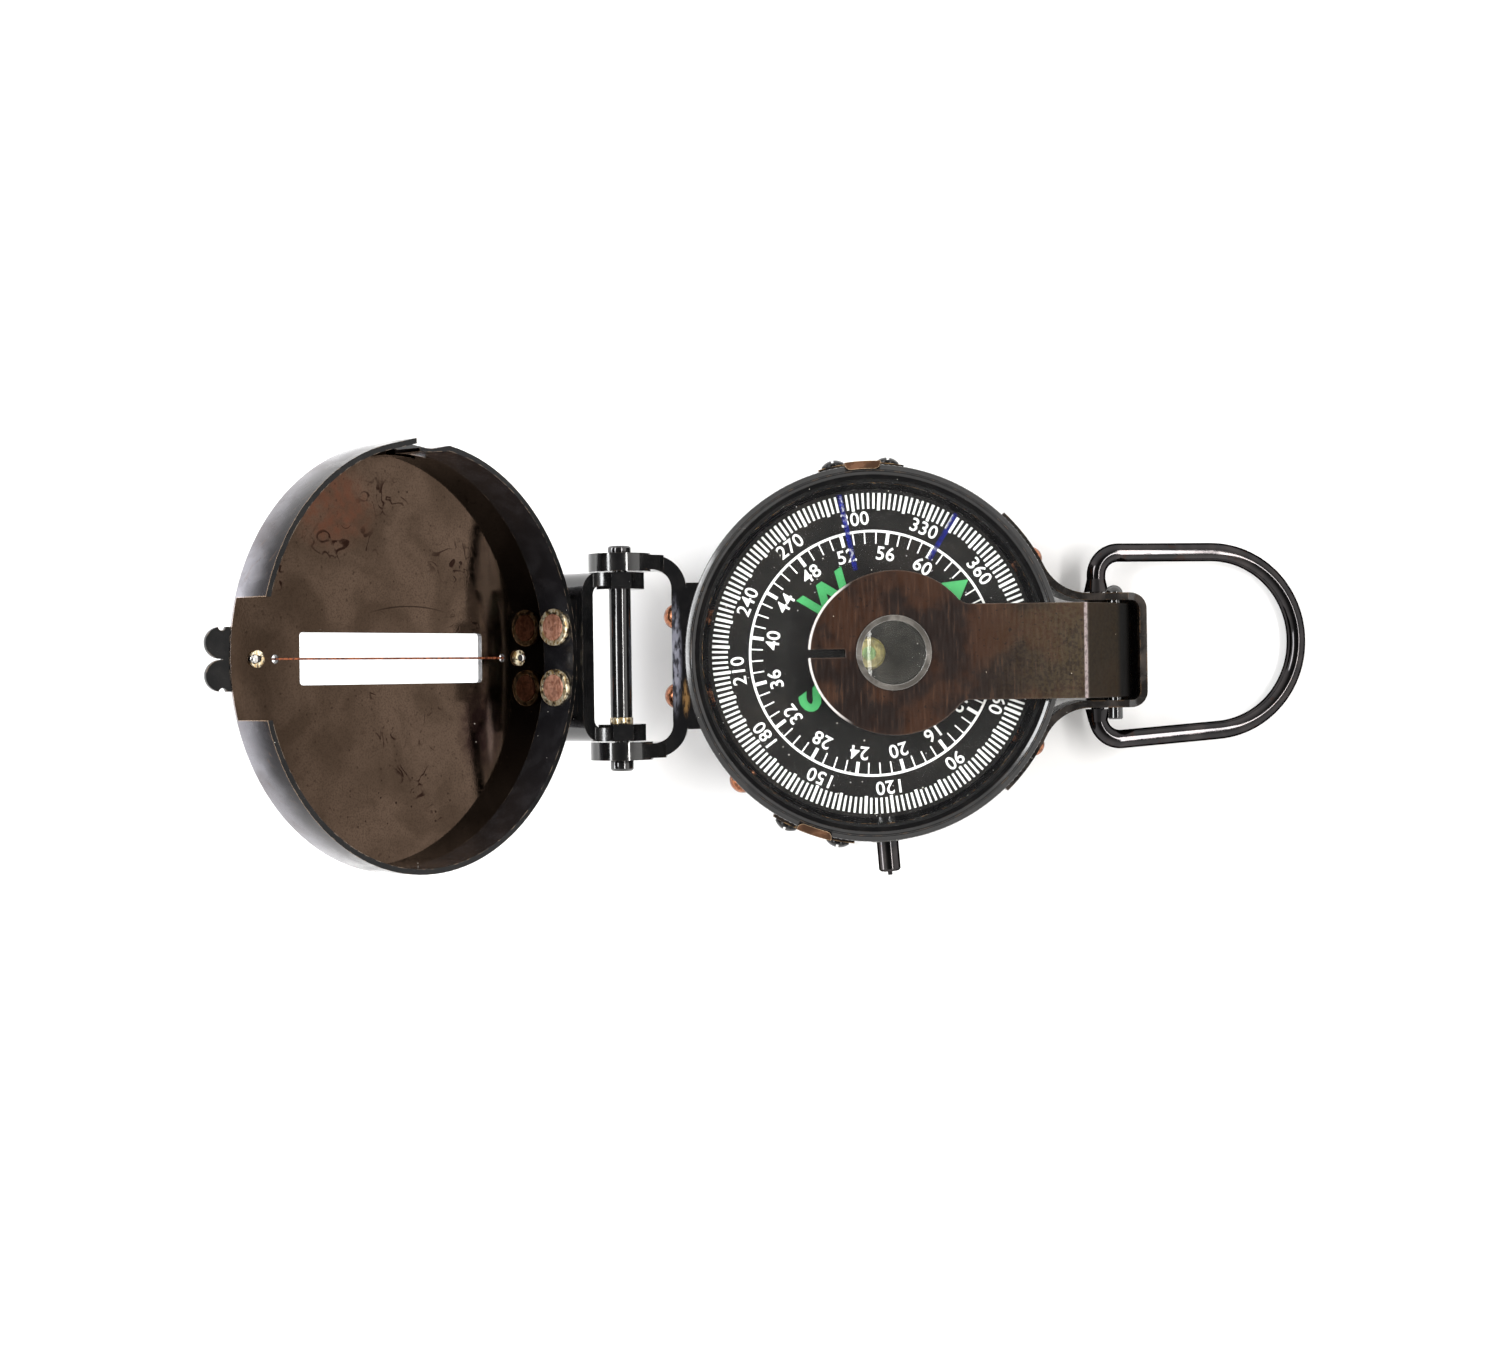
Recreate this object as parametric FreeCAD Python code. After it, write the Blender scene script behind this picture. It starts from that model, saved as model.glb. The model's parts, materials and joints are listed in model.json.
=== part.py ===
"""Lensatic pocket compass with a hinged sighting lid.

Units are millimetres. The origin is the centre of the case's flat base, +Z is up, +X points to the carrying ring and
-X to the lid hinge. The lid is drawn closed over the case and then swung open about its hinge.
"""
import FreeCAD
import Part
import math
import os

V = FreeCAD.Vector
X_AXIS = V(1, 0, 0)
Y_AXIS = V(0, 1, 0)
Z_AXIS = V(0, 0, 1)

# ---- case ----------------------------------------------------------------------------------------------------------
CASE_R = 28.0
CASE_WALL = 2.6
CASE_FLOOR = 1.2
CASE_SHOULDER_Z = 14.6
SPIGOT_R = 26.2
SPIGOT_TOP = 16.3
BASE_EDGE_R = 0.8

# ---- rotating bezel and crystal --------------------------------------------------------------------------------------
BEZEL_R = 28.0
BEZEL_BOTTOM = 15.0
BEZEL_TOP = 19.0
BEZEL_SEAT_R = 25.5
BEZEL_RUN_GAP = 0.1
BEZEL_SEAT_Z = 16.4
BEZEL_SEAT_T = 0.5
BEZEL_INNER_R = 26.4
BEZEL_LIP_R = 26.75
CRYSTAL_R = 26.35
CRYSTAL_T = 1.0
GASKET_T = 0.25
SNAP_RING_W = 0.55
SNAP_RING_T = 0.5

# ---- card ------------------------------------------------------------------------------------------------------------
CARD_R = 24.6
CARD_T = 0.5
CARD_Z = 14.3
CARD_NORTH_DEG = 36.8
HUB_R = 2.2
HUB_BOTTOM = 12.3
HUB_CAP_R = 1.5
HUB_CAP_T = 0.35
JEWEL_R = 0.9
JEWEL_BOTTOM = 12.9
MAGNET_LENGTH = 24.0
MAGNET_WIDTH = 2.2
MAGNET_HEIGHT = 1.4
MAGNET_OFFSET = 4.0
NEEDLE_R = 0.35
NEEDLE_TIP_Z = 13.4
POST_TOP = 10.4
POST_R = 1.2

# ---- lid hinge -------------------------------------------------------------------------------------------------------
HINGE_X = -37.75
HINGE_Z = 13.8
LID_OPEN_DEG = 128.5
PIN_R = 1.1
PIN_RUN_GAP = 0.05
OUTER_EYE_R = 4.7
OUTER_EYE_Y = (12.75, 15.45)
OUTER_ARM_Y = (13.0, 15.2)
INNER_EYE_FLATS = 7.1
INNER_EYE_Y = (10.1, 12.6)
INNER_ARM_Y = (10.6, 12.6)
SPACER_R = 1.65
PIN_HEAD_R = 1.75
PIN_HEAD_T = 1.2
PIN_NUT_T = 1.7

FRONT_WEB_X = -30.0
FRONT_WEB_T = 2.2
FRONT_WEB_Z = (7.0, 14.0)
FRONT_SADDLE_Y = 11.0
FRONT_CORNER_R = 5.0
FRONT_RIVET_Y = 6.0
FRONT_RIVET_Z = 10.5
FRONT_RIVET_R = 1.85
FRONT_RIVET_DOME = 1.3

LID_WEB_T = 2.4
LID_WEB_Z = (14.4, 21.2)
LID_SADDLE_Y = 8.5
LID_CORNER_R = 3.4
LID_RIVET_Y = 4.5
LID_RIVET_Z = 18.7
LID_RIVET_CORE_R = 1.95
LID_WASHER_R = 2.75

# ---- lid -------------------------------------------------------------------------------------------------------------
LID_R = 30.0
LID_T = 0.8
LID_TOP = 22.3
LID_RIM = 15.6
LID_EDGE_R = 0.7
SLOT_X = (-16.1, 18.3)
SLOT_WIDTH = 7.1
WIRE_HOLE_STEP = 4.2
WIRE_SCREW_STEP = 7.5
WIRE_R = 0.15
WIRE_HOLE_R = 0.6
LID_CUTOUT_W = 16.0
TAB_LENGTH = 3.2
TAB_BEND_DEG = 18.0
TAB_LOBE_R = 2.1
TAB_LOBE_Y = 2.15
DETENT_DEG = (86.5, 92.0, 98.5)
DETENT_JOG = 0.65
DETENT_T = 0.5
DETENT_DEPTH = 4.6
DETENT_SLIT_DEG = 0.9
FLARE_OUT = 0.4
FLARE_DEG = 8.0

# ---- lens arm and its bracket ----------------------------------------------------------------------------------------
ARM_HEAD_X = 3.2
ARM_HEAD_R = 12.2
ARM_HEAD_LONG_R = 12.95
ARM_NECK_W = 14.2
ARM_Z = 19.4
ARM_T = 1.0
ARM_BEND_X = 31.0
ARM_NECK_FILLET = 2.5
LENS_X = 2.9
LENS_HOLE_R = 5.35
LENS_R = 4.75
REAR_SIGHT_W = 1.2
REAR_SIGHT_L = 5.5
ARM_PIVOT_X = 36.9
ARM_PIVOT_Z = 11.0
KNUCKLE_R = 2.15
ARM_PIN_HEAD_R = 1.35
ARM_PIN_HEAD_H = 1.2
ARM_PIN_TAIL = 1.8

BRACKET_T = 1.1
BRACKET_Y = 8.65
BRACKET_END_X = 41.7
BRACKET_CORNER_R = 2.4
BRACKET_FLARE_R = 8.0
BRACKET_WING_DEG = 46.0
BRACKET_BOTTOM = 2.5
BRACKET_FLOOR_X = 33.6
BRACKET_FLOOR_T = 0.8
BRACKET_TOP = 13.3
BRACKET_WEB_TOP = 11.8
BRACKET_WING_Z = (4.5, 13.3)
WING_RIVET_DEG = 30.0
WING_RIVET_Z = 9.5
WING_RIVET_R = 1.6
WING_RIVET_DOME = 1.0

# ---- carrying ring ---------------------------------------------------------------------------------------------------
RING_PIVOT_X = 34.9
RING_PIVOT_Z = 6.3
RING_WIRE_R = 1.42
RING_LEG_Y = (15.0, -13.9)
RING_LEG_SLOPE_DEG = 4.2
RING_END_X = 66.9
RING_CORNER_R = 3.5
RING_BOW_R = 13.7
RING_FOOT_R = 1.9
RING_FOOT_L = 2.0
RING_STUB_R = 1.0
RING_SHOULDER_GAP = 0.3

# ---- bezel clips -----------------------------------------------------------------------------------------------------
CLIP_DEG = (92.6, 250.9)
CLIP_HALF_ANGLE = 13.0
CLIP_Z = (9.2, 14.3)
CLIP_T = 0.65
CLIP_SCREW_ANGLE = 8.2
CLIP_SCREW_Z = 11.7
CLIP_SCREW_R = 1.75
CLIP_SCREW_SIDE = 0.35
CLIP_SCREW_DOME = 0.75
CLIP_SCREW_SLOT = 0.5
CLIP_WINDOW_Z = 11.4
TONGUE_HALF_ANGLE = 5.4
TONGUE_T = 0.4
TONGUE_GAP = 0.08
TONGUE_REACH = 0.7
TONGUE_CORNER_R = 0.9
WALL_RIVET_DEG = 223.7
WALL_RIVET_Z = 11.5
WALL_RIVET_R = 1.75
WALL_RIVET_SIDE = 0.2
WALL_RIVET_DOME = 1.0

# ---- card brake ------------------------------------------------------------------------------------------------------
PLUNGER_DEG = 274.3
PLUNGER_Z = 10.2
PLUNGER_R = 1.65
PLUNGER_END = 33.1
PLUNGER_NOSE_R = 0.5
PLUNGER_CONE = (20.6, 22.9)
GUIDE_R = 2.5
LEVER_PIVOT = -17.0
LEVER_END = 21.1
LEVER_BOTTOM = 10.98
LEVER_T = 0.6
LEVER_WIDTH = 3.6
LEVER_PIN_R = 0.5
LEVER_TAIL = 2.2

parts = {}


# ---- helpers ---------------------------------------------------------------------------------------------------------
def cyl(radius, length, base, axis=Z_AXIS):
    return Part.makeCylinder(radius, length, base, axis)


def box(low, high):
    return Part.makeBox(high[0] - low[0], high[1] - low[1], high[2] - low[2], V(*low))


def polar(radius, deg, z=0.0):
    angle = math.radians(deg)
    return V(radius * math.cos(angle), radius * math.sin(angle), z)


def outward(deg):
    return polar(1.0, deg)


def revolved(points):
    """Solid of revolution about Z from (radius, z) points."""
    wire = Part.makePolygon([V(r, 0, z) for r, z in points + points[:1]])
    return Part.Face(wire).revolve(V(0, 0, 0), Z_AXIS, 360)


def ring(r_in, r_out, z0, z1):
    return revolved([(r_in, z0), (r_out, z0), (r_out, z1), (r_in, z1)])


def ring_sector(r_in, r_out, z0, z1, deg0, deg1):
    """Part of a ring between two angles."""
    wire = Part.makePolygon([V(r, 0, z) for r, z in ((r_in, z0), (r_out, z0), (r_out, z1), (r_in, z1), (r_in, z0))])
    sector = Part.Face(wire).revolve(V(0, 0, 0), Z_AXIS, deg1 - deg0)
    sector.rotate(V(0, 0, 0), Z_AXIS, deg0)
    return sector


def prism(points, vector):
    wire = Part.makePolygon(points + points[:1])
    return Part.Face(wire).extrude(vector)


def side_plate(points, y0, y1):
    """Plate with an outline in the XZ plane, between two Y values."""
    return prism([V(x, y0, z) for x, z in points], V(0, y1 - y0, 0))


def mirrored(shape):
    return shape.mirror(V(0, 0, 0), Y_AXIS)


def both_sides(shape):
    return shape.fuse(mirrored(shape))


def placed(shape, deg, z=0.0):
    """A shape drawn along +X, turned to an angle about the case axis."""
    turned = shape.copy()
    turned.rotate(V(0, 0, 0), Z_AXIS, deg)
    turned.translate(V(0, 0, z))
    return turned


def edges_near(shape, test):
    return [edge for edge in shape.Edges if test(edge)]


def dome(radius, height, base, axis):
    """Domed rivet head: a low spherical cap standing on its flat face."""
    sphere_r = (radius * radius + height * height) / (2 * height)
    ball = Part.makeSphere(sphere_r, base + axis * (height - sphere_r))
    slab = cyl(radius + 1, height + 1, base, axis)
    return ball.common(slab)


def tangent_point(px, pz, cx, cz, radius, side):
    """Where the line from a point touches a circle; side is +1 or -1."""
    dist = math.hypot(cx - px, cz - pz)
    heading = math.atan2(cz - pz, cx - px)
    angle = heading + side * (math.pi / 2 + math.asin(radius / dist))
    return cx + radius * math.cos(angle), cz + radius * math.sin(angle)


def open_lid(shape):
    """Swing a shape that was drawn with the lid closed to the open position."""
    swung = shape.copy()
    swung.rotate(V(HINGE_X, 0, HINGE_Z), Y_AXIS, -LID_OPEN_DEG)
    return swung


def save(name, shape):
    solids = shape.Solids
    kept = solids[0] if len(solids) == 1 else Part.makeCompound(solids)
    if not kept.isValid():
        print("invalid shape:", name)
    parts[name] = kept


# ---- case ------------------------------------------------------------------------------------------------------------
def make_case():
    inner = CASE_R - CASE_WALL
    cup = revolved([
        (0, 0), (CASE_R - BASE_EDGE_R, 0), (CASE_R, BASE_EDGE_R), (CASE_R, CASE_SHOULDER_Z),
        (SPIGOT_R, CASE_SHOULDER_Z), (SPIGOT_R, SPIGOT_TOP), (inner, SPIGOT_TOP), (inner, CASE_FLOOR),
        (0, CASE_FLOOR),
    ])
    return cup


def make_bezel():
    bore = SPIGOT_R + BEZEL_RUN_GAP
    body = revolved([
        (bore, BEZEL_BOTTOM), (BEZEL_R - 0.3, BEZEL_BOTTOM), (BEZEL_R, BEZEL_BOTTOM + 0.3),
        (BEZEL_R, BEZEL_TOP - 0.3), (BEZEL_R - 0.3, BEZEL_TOP), (BEZEL_LIP_R, BEZEL_TOP),
        (BEZEL_INNER_R, BEZEL_TOP - 0.4), (BEZEL_INNER_R, BEZEL_SEAT_Z + BEZEL_SEAT_T),
        (BEZEL_SEAT_R, BEZEL_SEAT_Z + BEZEL_SEAT_T), (BEZEL_SEAT_R, BEZEL_SEAT_Z), (bore, BEZEL_SEAT_Z),
    ])
    gasket_z = BEZEL_SEAT_Z + BEZEL_SEAT_T
    crystal_z = gasket_z + GASKET_T
    ring_z = crystal_z + CRYSTAL_T
    crystal = revolved([
        (0, crystal_z), (CRYSTAL_R, crystal_z), (CRYSTAL_R, ring_z - 0.15), (CRYSTAL_R - 0.15, ring_z), (0, ring_z),
    ])
    save("bezel_ring", body)
    save("crystal_gasket", ring(BEZEL_SEAT_R + 0.1, CRYSTAL_R, gasket_z, crystal_z))
    save("crystal", crystal)
    save("crystal_retaining_ring", ring(BEZEL_INNER_R - SNAP_RING_W, BEZEL_INNER_R, ring_z, ring_z + SNAP_RING_T))


# ---- floating card and its pivot -------------------------------------------------------------------------------------
def make_card():
    top = CARD_Z + CARD_T
    hub = revolved([
        (JEWEL_R, HUB_BOTTOM), (HUB_R, HUB_BOTTOM), (HUB_R, CARD_Z), (HUB_CAP_R, CARD_Z), (HUB_CAP_R, top),
        (HUB_R - 0.1, top), (HUB_R - 0.35, top + HUB_CAP_T), (JEWEL_R, top + HUB_CAP_T),
    ])
    jewel = revolved([
        (0, NEEDLE_TIP_Z + 0.05), (JEWEL_R - 0.15, JEWEL_BOTTOM), (JEWEL_R, JEWEL_BOTTOM), (JEWEL_R, top + 0.2),
        (0, top + 0.3),
    ])
    save("card_hub", hub)
    save("jewel_cap", jewel)
    save("card_disc", ring(HUB_CAP_R, CARD_R, CARD_Z, top))
    for number, side in enumerate((1, -1), start=1):
        low = (-MAGNET_LENGTH / 2, side * MAGNET_OFFSET - MAGNET_WIDTH / 2, CARD_Z - MAGNET_HEIGHT)
        high = (MAGNET_LENGTH / 2, side * MAGNET_OFFSET + MAGNET_WIDTH / 2, CARD_Z)
        save(f"card_magnet_{number}", placed(box(low, high), CARD_NORTH_DEG))


def make_pivot():
    flange_top = CASE_FLOOR + 0.9
    post = revolved([
        (0, CASE_FLOOR), (3.2, CASE_FLOOR), (3.2, flange_top - 0.2), (3.0, flange_top), (POST_R + 0.5, flange_top),
        (POST_R, flange_top + 0.5), (POST_R, POST_TOP - 0.3), (POST_R - 0.3, POST_TOP), (0, POST_TOP),
    ])
    seat_z = POST_TOP - 3.0
    needle = revolved([
        (0, seat_z), (NEEDLE_R, seat_z), (NEEDLE_R, NEEDLE_TIP_Z - 1.1), (0.04, NEEDLE_TIP_Z), (0, NEEDLE_TIP_Z),
    ])
    save("pivot_needle", needle)
    save("pivot_post", post.cut(needle))


# ---- front hinge bracket, on the case --------------------------------------------------------------------------------
def yoke_arm(web_x, web_z, eye_r, arm_y):
    """One arm of a yoke: a tapered side plate from its web to a circle round the hinge axis."""
    top = tangent_point(web_x, web_z[1], HINGE_X, HINGE_Z, eye_r, -1)
    bottom = tangent_point(web_x, web_z[0], HINGE_X, HINGE_Z, eye_r, 1)
    return side_plate([(web_x, web_z[0]), (web_x, web_z[1]), top, (HINGE_X, HINGE_Z), bottom], *arm_y)


def yoke_web(x_front, x_back, half_width, arm_thickness, corner_r, z_span):
    """The web and rounded corners of a U-shaped yoke that opens towards -X."""
    z0, z1 = z_span
    arm_end = x_back - corner_r - 0.5
    outer = box((arm_end, -half_width, z0), (x_back, half_width, z1))
    outer = outer.makeFillet(corner_r, upright_edges_at(outer, x_back))
    inner_half = half_width - arm_thickness
    inner = box((arm_end - 3, -inner_half, z0 - 1), (x_front, inner_half, z1 + 1))
    inner = inner.makeFillet(max(corner_r - arm_thickness, 0.8), upright_edges_at(inner, x_front))
    return outer.cut(inner)


def upright_edges_at(shape, x):
    return edges_near(shape, lambda edge: is_vertical(edge) and abs(edge.CenterOfMass.x - x) < 0.01)


def is_vertical(edge):
    first, last = edge.Vertexes[0].Point, edge.Vertexes[-1].Point
    return abs(first.x - last.x) < 1e-6 and abs(first.y - last.y) < 1e-6


def rivet(x_head, x_end, y, z, shank_r, head_r, head_h, tail_r, tail_h):
    """Rivet along X with its domed head towards -X and a flat head at the other end."""
    shank = cyl(shank_r, x_end - x_head, V(x_head, y, z), X_AXIS)
    head = dome(head_r, head_h, V(x_head, y, z), V(-1, 0, 0))
    tail = cyl(tail_r, tail_h, V(x_end - tail_h, y, z), X_AXIS)
    return shank.fuse([head, tail]).removeSplitter()


def make_front_bracket(case):
    back_x = FRONT_WEB_X + FRONT_WEB_T
    thickness = OUTER_ARM_Y[1] - OUTER_ARM_Y[0]
    web = yoke_web(FRONT_WEB_X, back_x, OUTER_ARM_Y[1], thickness, FRONT_CORNER_R, FRONT_WEB_Z)
    saddle = box((back_x, -FRONT_SADDLE_Y, FRONT_WEB_Z[0]), (back_x + 3.5, FRONT_SADDLE_Y, FRONT_WEB_Z[1]))
    arm = yoke_arm(FRONT_WEB_X - 1.1, FRONT_WEB_Z, OUTER_EYE_R, OUTER_ARM_Y)
    eye = cyl(OUTER_EYE_R, OUTER_EYE_Y[1] - OUTER_EYE_Y[0], V(HINGE_X, OUTER_EYE_Y[0], HINGE_Z), Y_AXIS)
    arms = both_sides(arm.fuse(eye))
    bracket = web.fuse([saddle, arms]).removeSplitter()
    bracket = bracket.cut(cyl(CASE_R, 40, V(0, 0, -5)))
    bracket = bracket.cut(cyl(PIN_R, 60, V(HINGE_X, -30, HINGE_Z), Y_AXIS))
    rivets = []
    inner = CASE_R - CASE_WALL
    for side in (1, -1):
        y = side * FRONT_RIVET_Y
        tail_x = -math.sqrt(inner ** 2 - (FRONT_RIVET_Y + 1.8) ** 2) + 0.6
        head = (FRONT_RIVET_R, FRONT_RIVET_DOME)
        rivets.append(rivet(FRONT_WEB_X, tail_x, y, FRONT_RIVET_Z, 1.2, *head, 1.8, 1.1))
    group = Part.makeCompound(rivets)
    save("front_hinge_bracket", bracket.cut(group))
    save("front_bracket_rivets", group)
    return case.cut(group)


def make_hinge_pin():
    low = -OUTER_EYE_Y[1]
    high = OUTER_EYE_Y[1]
    pin = cyl(PIN_R, high - low + PIN_NUT_T * 0.6, V(HINGE_X, low - PIN_NUT_T * 0.6, HINGE_Z), Y_AXIS)
    head = cyl(PIN_HEAD_R, PIN_HEAD_T, V(HINGE_X, high, HINGE_Z), Y_AXIS)
    head = head.makeChamfer(0.25, edges_near(head, lambda e: abs(e.CenterOfMass.y - high - PIN_HEAD_T) < 0.01 and e.Length > 5))
    nut = cyl(PIN_HEAD_R, PIN_NUT_T, V(HINGE_X, low - PIN_NUT_T, HINGE_Z), Y_AXIS)
    nut = nut.makeChamfer(0.3, edges_near(nut, lambda e: abs(e.CenterOfMass.y - low + PIN_NUT_T) < 0.01 and e.Length > 5))
    pin = pin.fuse(head).removeSplitter()
    save("hinge_pin", pin)
    save("hinge_pin_collar", nut.cut(pin))


# ---- lid, drawn closed -----------------------------------------------------------------------------------------------
def lid_tab():
    """Two-lobed thumb tab at the lid's far edge, bent slightly outward."""
    z0 = LID_TOP - LID_T
    root = box((LID_R - 1.6, -4.25, z0), (LID_R + 0.9, 4.25, LID_TOP))
    tab = root
    for side in (1, -1):
        tab = tab.fuse(cyl(TAB_LOBE_R, LID_T, V(LID_R + TAB_LENGTH - TAB_LOBE_R, side * TAB_LOBE_Y, z0)))
        tab = tab.cut(cyl(0.55, LID_T, V(LID_R + 0.95, side * 4.3, z0)))
    tab = tab.cut(placed(box((-0.6, -0.6, z0), (0.6, 0.6, LID_TOP)), 45).translated(V(LID_R + TAB_LENGTH, 0, 0)))
    tab.rotate(V(LID_R - 0.9, 0, z0), Y_AXIS, -TAB_BEND_DEG)
    return tab.removeSplitter()


def lid_detent(r_in):
    """A short stretch of the lid's wall, slit at its far end and pressed inward as a snap."""
    deg0, deg_mid, deg1 = DETENT_DEG
    z1 = LID_RIM + DETENT_DEPTH
    inside = r_in - DETENT_JOG
    outside = inside + DETENT_T
    start = deg0 + DETENT_SLIT_DEG
    gap = ring_sector(inside - 1, LID_R + 1, LID_RIM - 1, z1, deg0, deg1)
    corners = [(r_in, deg1), (inside, deg_mid), (inside, start), (outside, start), (outside, deg_mid), (LID_R, deg1)]
    pressed = prism([polar(r, deg, LID_RIM) for r, deg in corners], V(0, 0, DETENT_DEPTH))
    shelf = ring_sector(inside, r_in + 0.4, z1, z1 + 0.4, start, deg1)
    return gap, pressed.fuse(shelf)


def lid_flare(r_in):
    """The wall beside the snap's slit leans outward: what is taken off its inside and added to its outside."""
    deg1 = DETENT_DEG[0]
    deg0 = deg1 - FLARE_DEG
    height = V(0, 0, DETENT_DEPTH)
    inside = [(r_in - 0.2, deg0), (r_in, deg0), (r_in + FLARE_OUT, deg1), (r_in - 0.2, deg1)]
    outside = [(r_in + 0.5, deg0), (LID_R, deg0), (LID_R + FLARE_OUT, deg1), (r_in + 0.5, deg1)]
    removed, added = [prism([polar(r, deg, LID_RIM) for r, deg in corners], height) for corners in (inside, outside)]
    return removed, added


def make_lid_shell():
    r_in = LID_R - LID_T
    shell = revolved([
        (0, LID_TOP - LID_T), (r_in, LID_TOP - LID_T), (r_in, LID_RIM), (LID_R, LID_RIM),
        (LID_R, LID_TOP - LID_EDGE_R), (LID_R - LID_EDGE_R * 0.3, LID_TOP - LID_EDGE_R * 0.3),
        (LID_R - LID_EDGE_R, LID_TOP), (0, LID_TOP),
    ])
    half = LID_CUTOUT_W / 2
    shell = shell.cut(box((20, -half, LID_RIM - 1), (LID_R + 2, half, LID_TOP - LID_T)))
    gap, snap = lid_detent(r_in)
    removed, added = lid_flare(r_in)
    shell = shell.cut(gap).cut(removed).fuse([snap, added, lid_tab()]).removeSplitter()
    slot = box((SLOT_X[0], -SLOT_WIDTH / 2, LID_TOP - 5), (SLOT_X[1], SLOT_WIDTH / 2, LID_TOP + 5))
    slot = slot.makeFillet(0.5, edges_near(slot, is_vertical))
    shell = shell.cut(slot)
    for x in wire_hole_xs():
        shell = shell.cut(cyl(WIRE_HOLE_R, 5, V(x, 0, LID_TOP - 3)))
    return shell


def wire_hole_xs():
    return (SLOT_X[0] - WIRE_HOLE_STEP, SLOT_X[1] + WIRE_HOLE_STEP)


def wire_screw_xs():
    return (SLOT_X[0] - WIRE_SCREW_STEP, SLOT_X[1] + WIRE_SCREW_STEP)


def rod_path(points, radius):
    """Round bar along a few straight runs with ball corners."""
    rod = None
    for start, end in zip(points, points[1:]):
        run = cyl(radius, (end - start).Length, start, (end - start).normalize())
        rod = run if rod is None else rod.fuse(run)
    for corner in points[1:-1]:
        rod = rod.fuse(Part.makeSphere(radius, corner))
    return rod


def make_lid():
    shell = make_lid_shell()
    below = LID_TOP - LID_T - WIRE_R
    above = LID_TOP + WIRE_R
    hole_near, hole_far = wire_hole_xs()
    screw_near, screw_far = wire_screw_xs()
    screws = []
    for x in (screw_near, screw_far):
        body = cyl(0.7, LID_T + 1.1, V(x, 0, LID_TOP - LID_T - 0.5))
        collar = cyl(1.15, 0.4, V(x, 0, LID_TOP - LID_T - 0.4))
        head = cyl(1.3, 0.55, V(x, 0, LID_TOP + 0.02))
        notch = box((x - 2, -0.17, LID_TOP + 0.3), (x + 2, 0.17, LID_TOP + 1))
        screws.append(body.fuse([collar, head]).removeSplitter().cut(notch))
    group = Part.makeCompound(screws)
    wire = rod_path([
        V(screw_near - 0.9, 0, above), V(hole_near, 0, above), V(hole_near, 0, below), V(hole_far, 0, below),
        V(hole_far, 0, above), V(screw_far + 0.9, 0, above),
    ], WIRE_R)
    web_front = -LID_R - LID_WEB_T
    thickness = INNER_ARM_Y[1] - INNER_ARM_Y[0]
    web = yoke_web(web_front, -LID_R, INNER_ARM_Y[1], thickness, LID_CORNER_R, LID_WEB_Z)
    saddle = box((-LID_R, -LID_SADDLE_Y, LID_RIM), (-LID_R + 2.5, LID_SADDLE_Y, LID_WEB_Z[1]))
    flat = INNER_EYE_FLATS / 2
    arm = yoke_arm(web_front - 1.1, LID_WEB_Z, flat, INNER_ARM_Y)
    corner = flat / math.cos(math.radians(22.5))
    eye_points = [(HINGE_X + corner * math.cos(math.radians(a)), HINGE_Z + corner * math.sin(math.radians(a)))
                  for a in range(22, 382, 45)]
    eye = side_plate(eye_points, *INNER_EYE_Y)
    bracket = web.fuse([saddle, both_sides(arm.fuse(eye))]).removeSplitter()
    bracket = bracket.cut(cyl(LID_R, 20, V(0, 0, LID_RIM - 2)))
    bracket = bracket.cut(cyl(PIN_R + PIN_RUN_GAP, 60, V(HINGE_X, -30, HINGE_Z), Y_AXIS))
    rivets = []
    washers = []
    inner_x = -math.sqrt((LID_R - LID_T) ** 2 - (LID_RIVET_Y + LID_WASHER_R) ** 2)
    for side in (1, -1):
        y = side * LID_RIVET_Y
        rivets.append(rivet(web_front, inner_x + 0.3, y, LID_RIVET_Z, 1.2, 1.7, 0.6, LID_RIVET_CORE_R, 1.0))
        washers.append(cyl(LID_WASHER_R, 0.9, V(inner_x - 0.65, y, LID_RIVET_Z), X_AXIS))
    rivet_group = Part.makeCompound(rivets)
    washer_group = Part.makeCompound([w.cut(rivet_group) for w in washers])
    cutters = [rivet_group, washer_group]
    shell = shell.cut(group).cut(wire)
    for cutter in cutters:
        shell = shell.cut(cutter)
        bracket = bracket.cut(cutter)
    spacer = ring_on_hinge(PIN_R + PIN_RUN_GAP, SPACER_R, INNER_EYE_Y[0])
    save("lid_shell", open_lid(shell))
    save("lid_hinge_bracket", open_lid(bracket.cut(shell)))
    save("lid_bracket_rivets", open_lid(rivet_group))
    save("lid_rivet_washers", open_lid(washer_group))
    save("hinge_spacer_tube", open_lid(spacer))
    save("sight_wire", open_lid(wire.cut(group)))
    save("wire_screws", open_lid(group))


def ring_on_hinge(r_in, r_out, half_length):
    tube = cyl(r_out, 2 * half_length, V(HINGE_X, -half_length, HINGE_Z), Y_AXIS)
    return tube.cut(cyl(r_in, 2 * half_length, V(HINGE_X, -half_length, HINGE_Z), Y_AXIS))


# ---- rear bracket ----------------------------------------------------------------------------------------------------
def arc_between(centre, radius, deg0, deg_mid, deg1):
    return Part.Arc(*[centre + polar(radius, d) for d in (deg0, deg_mid, deg1)]).toShape()


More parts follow.
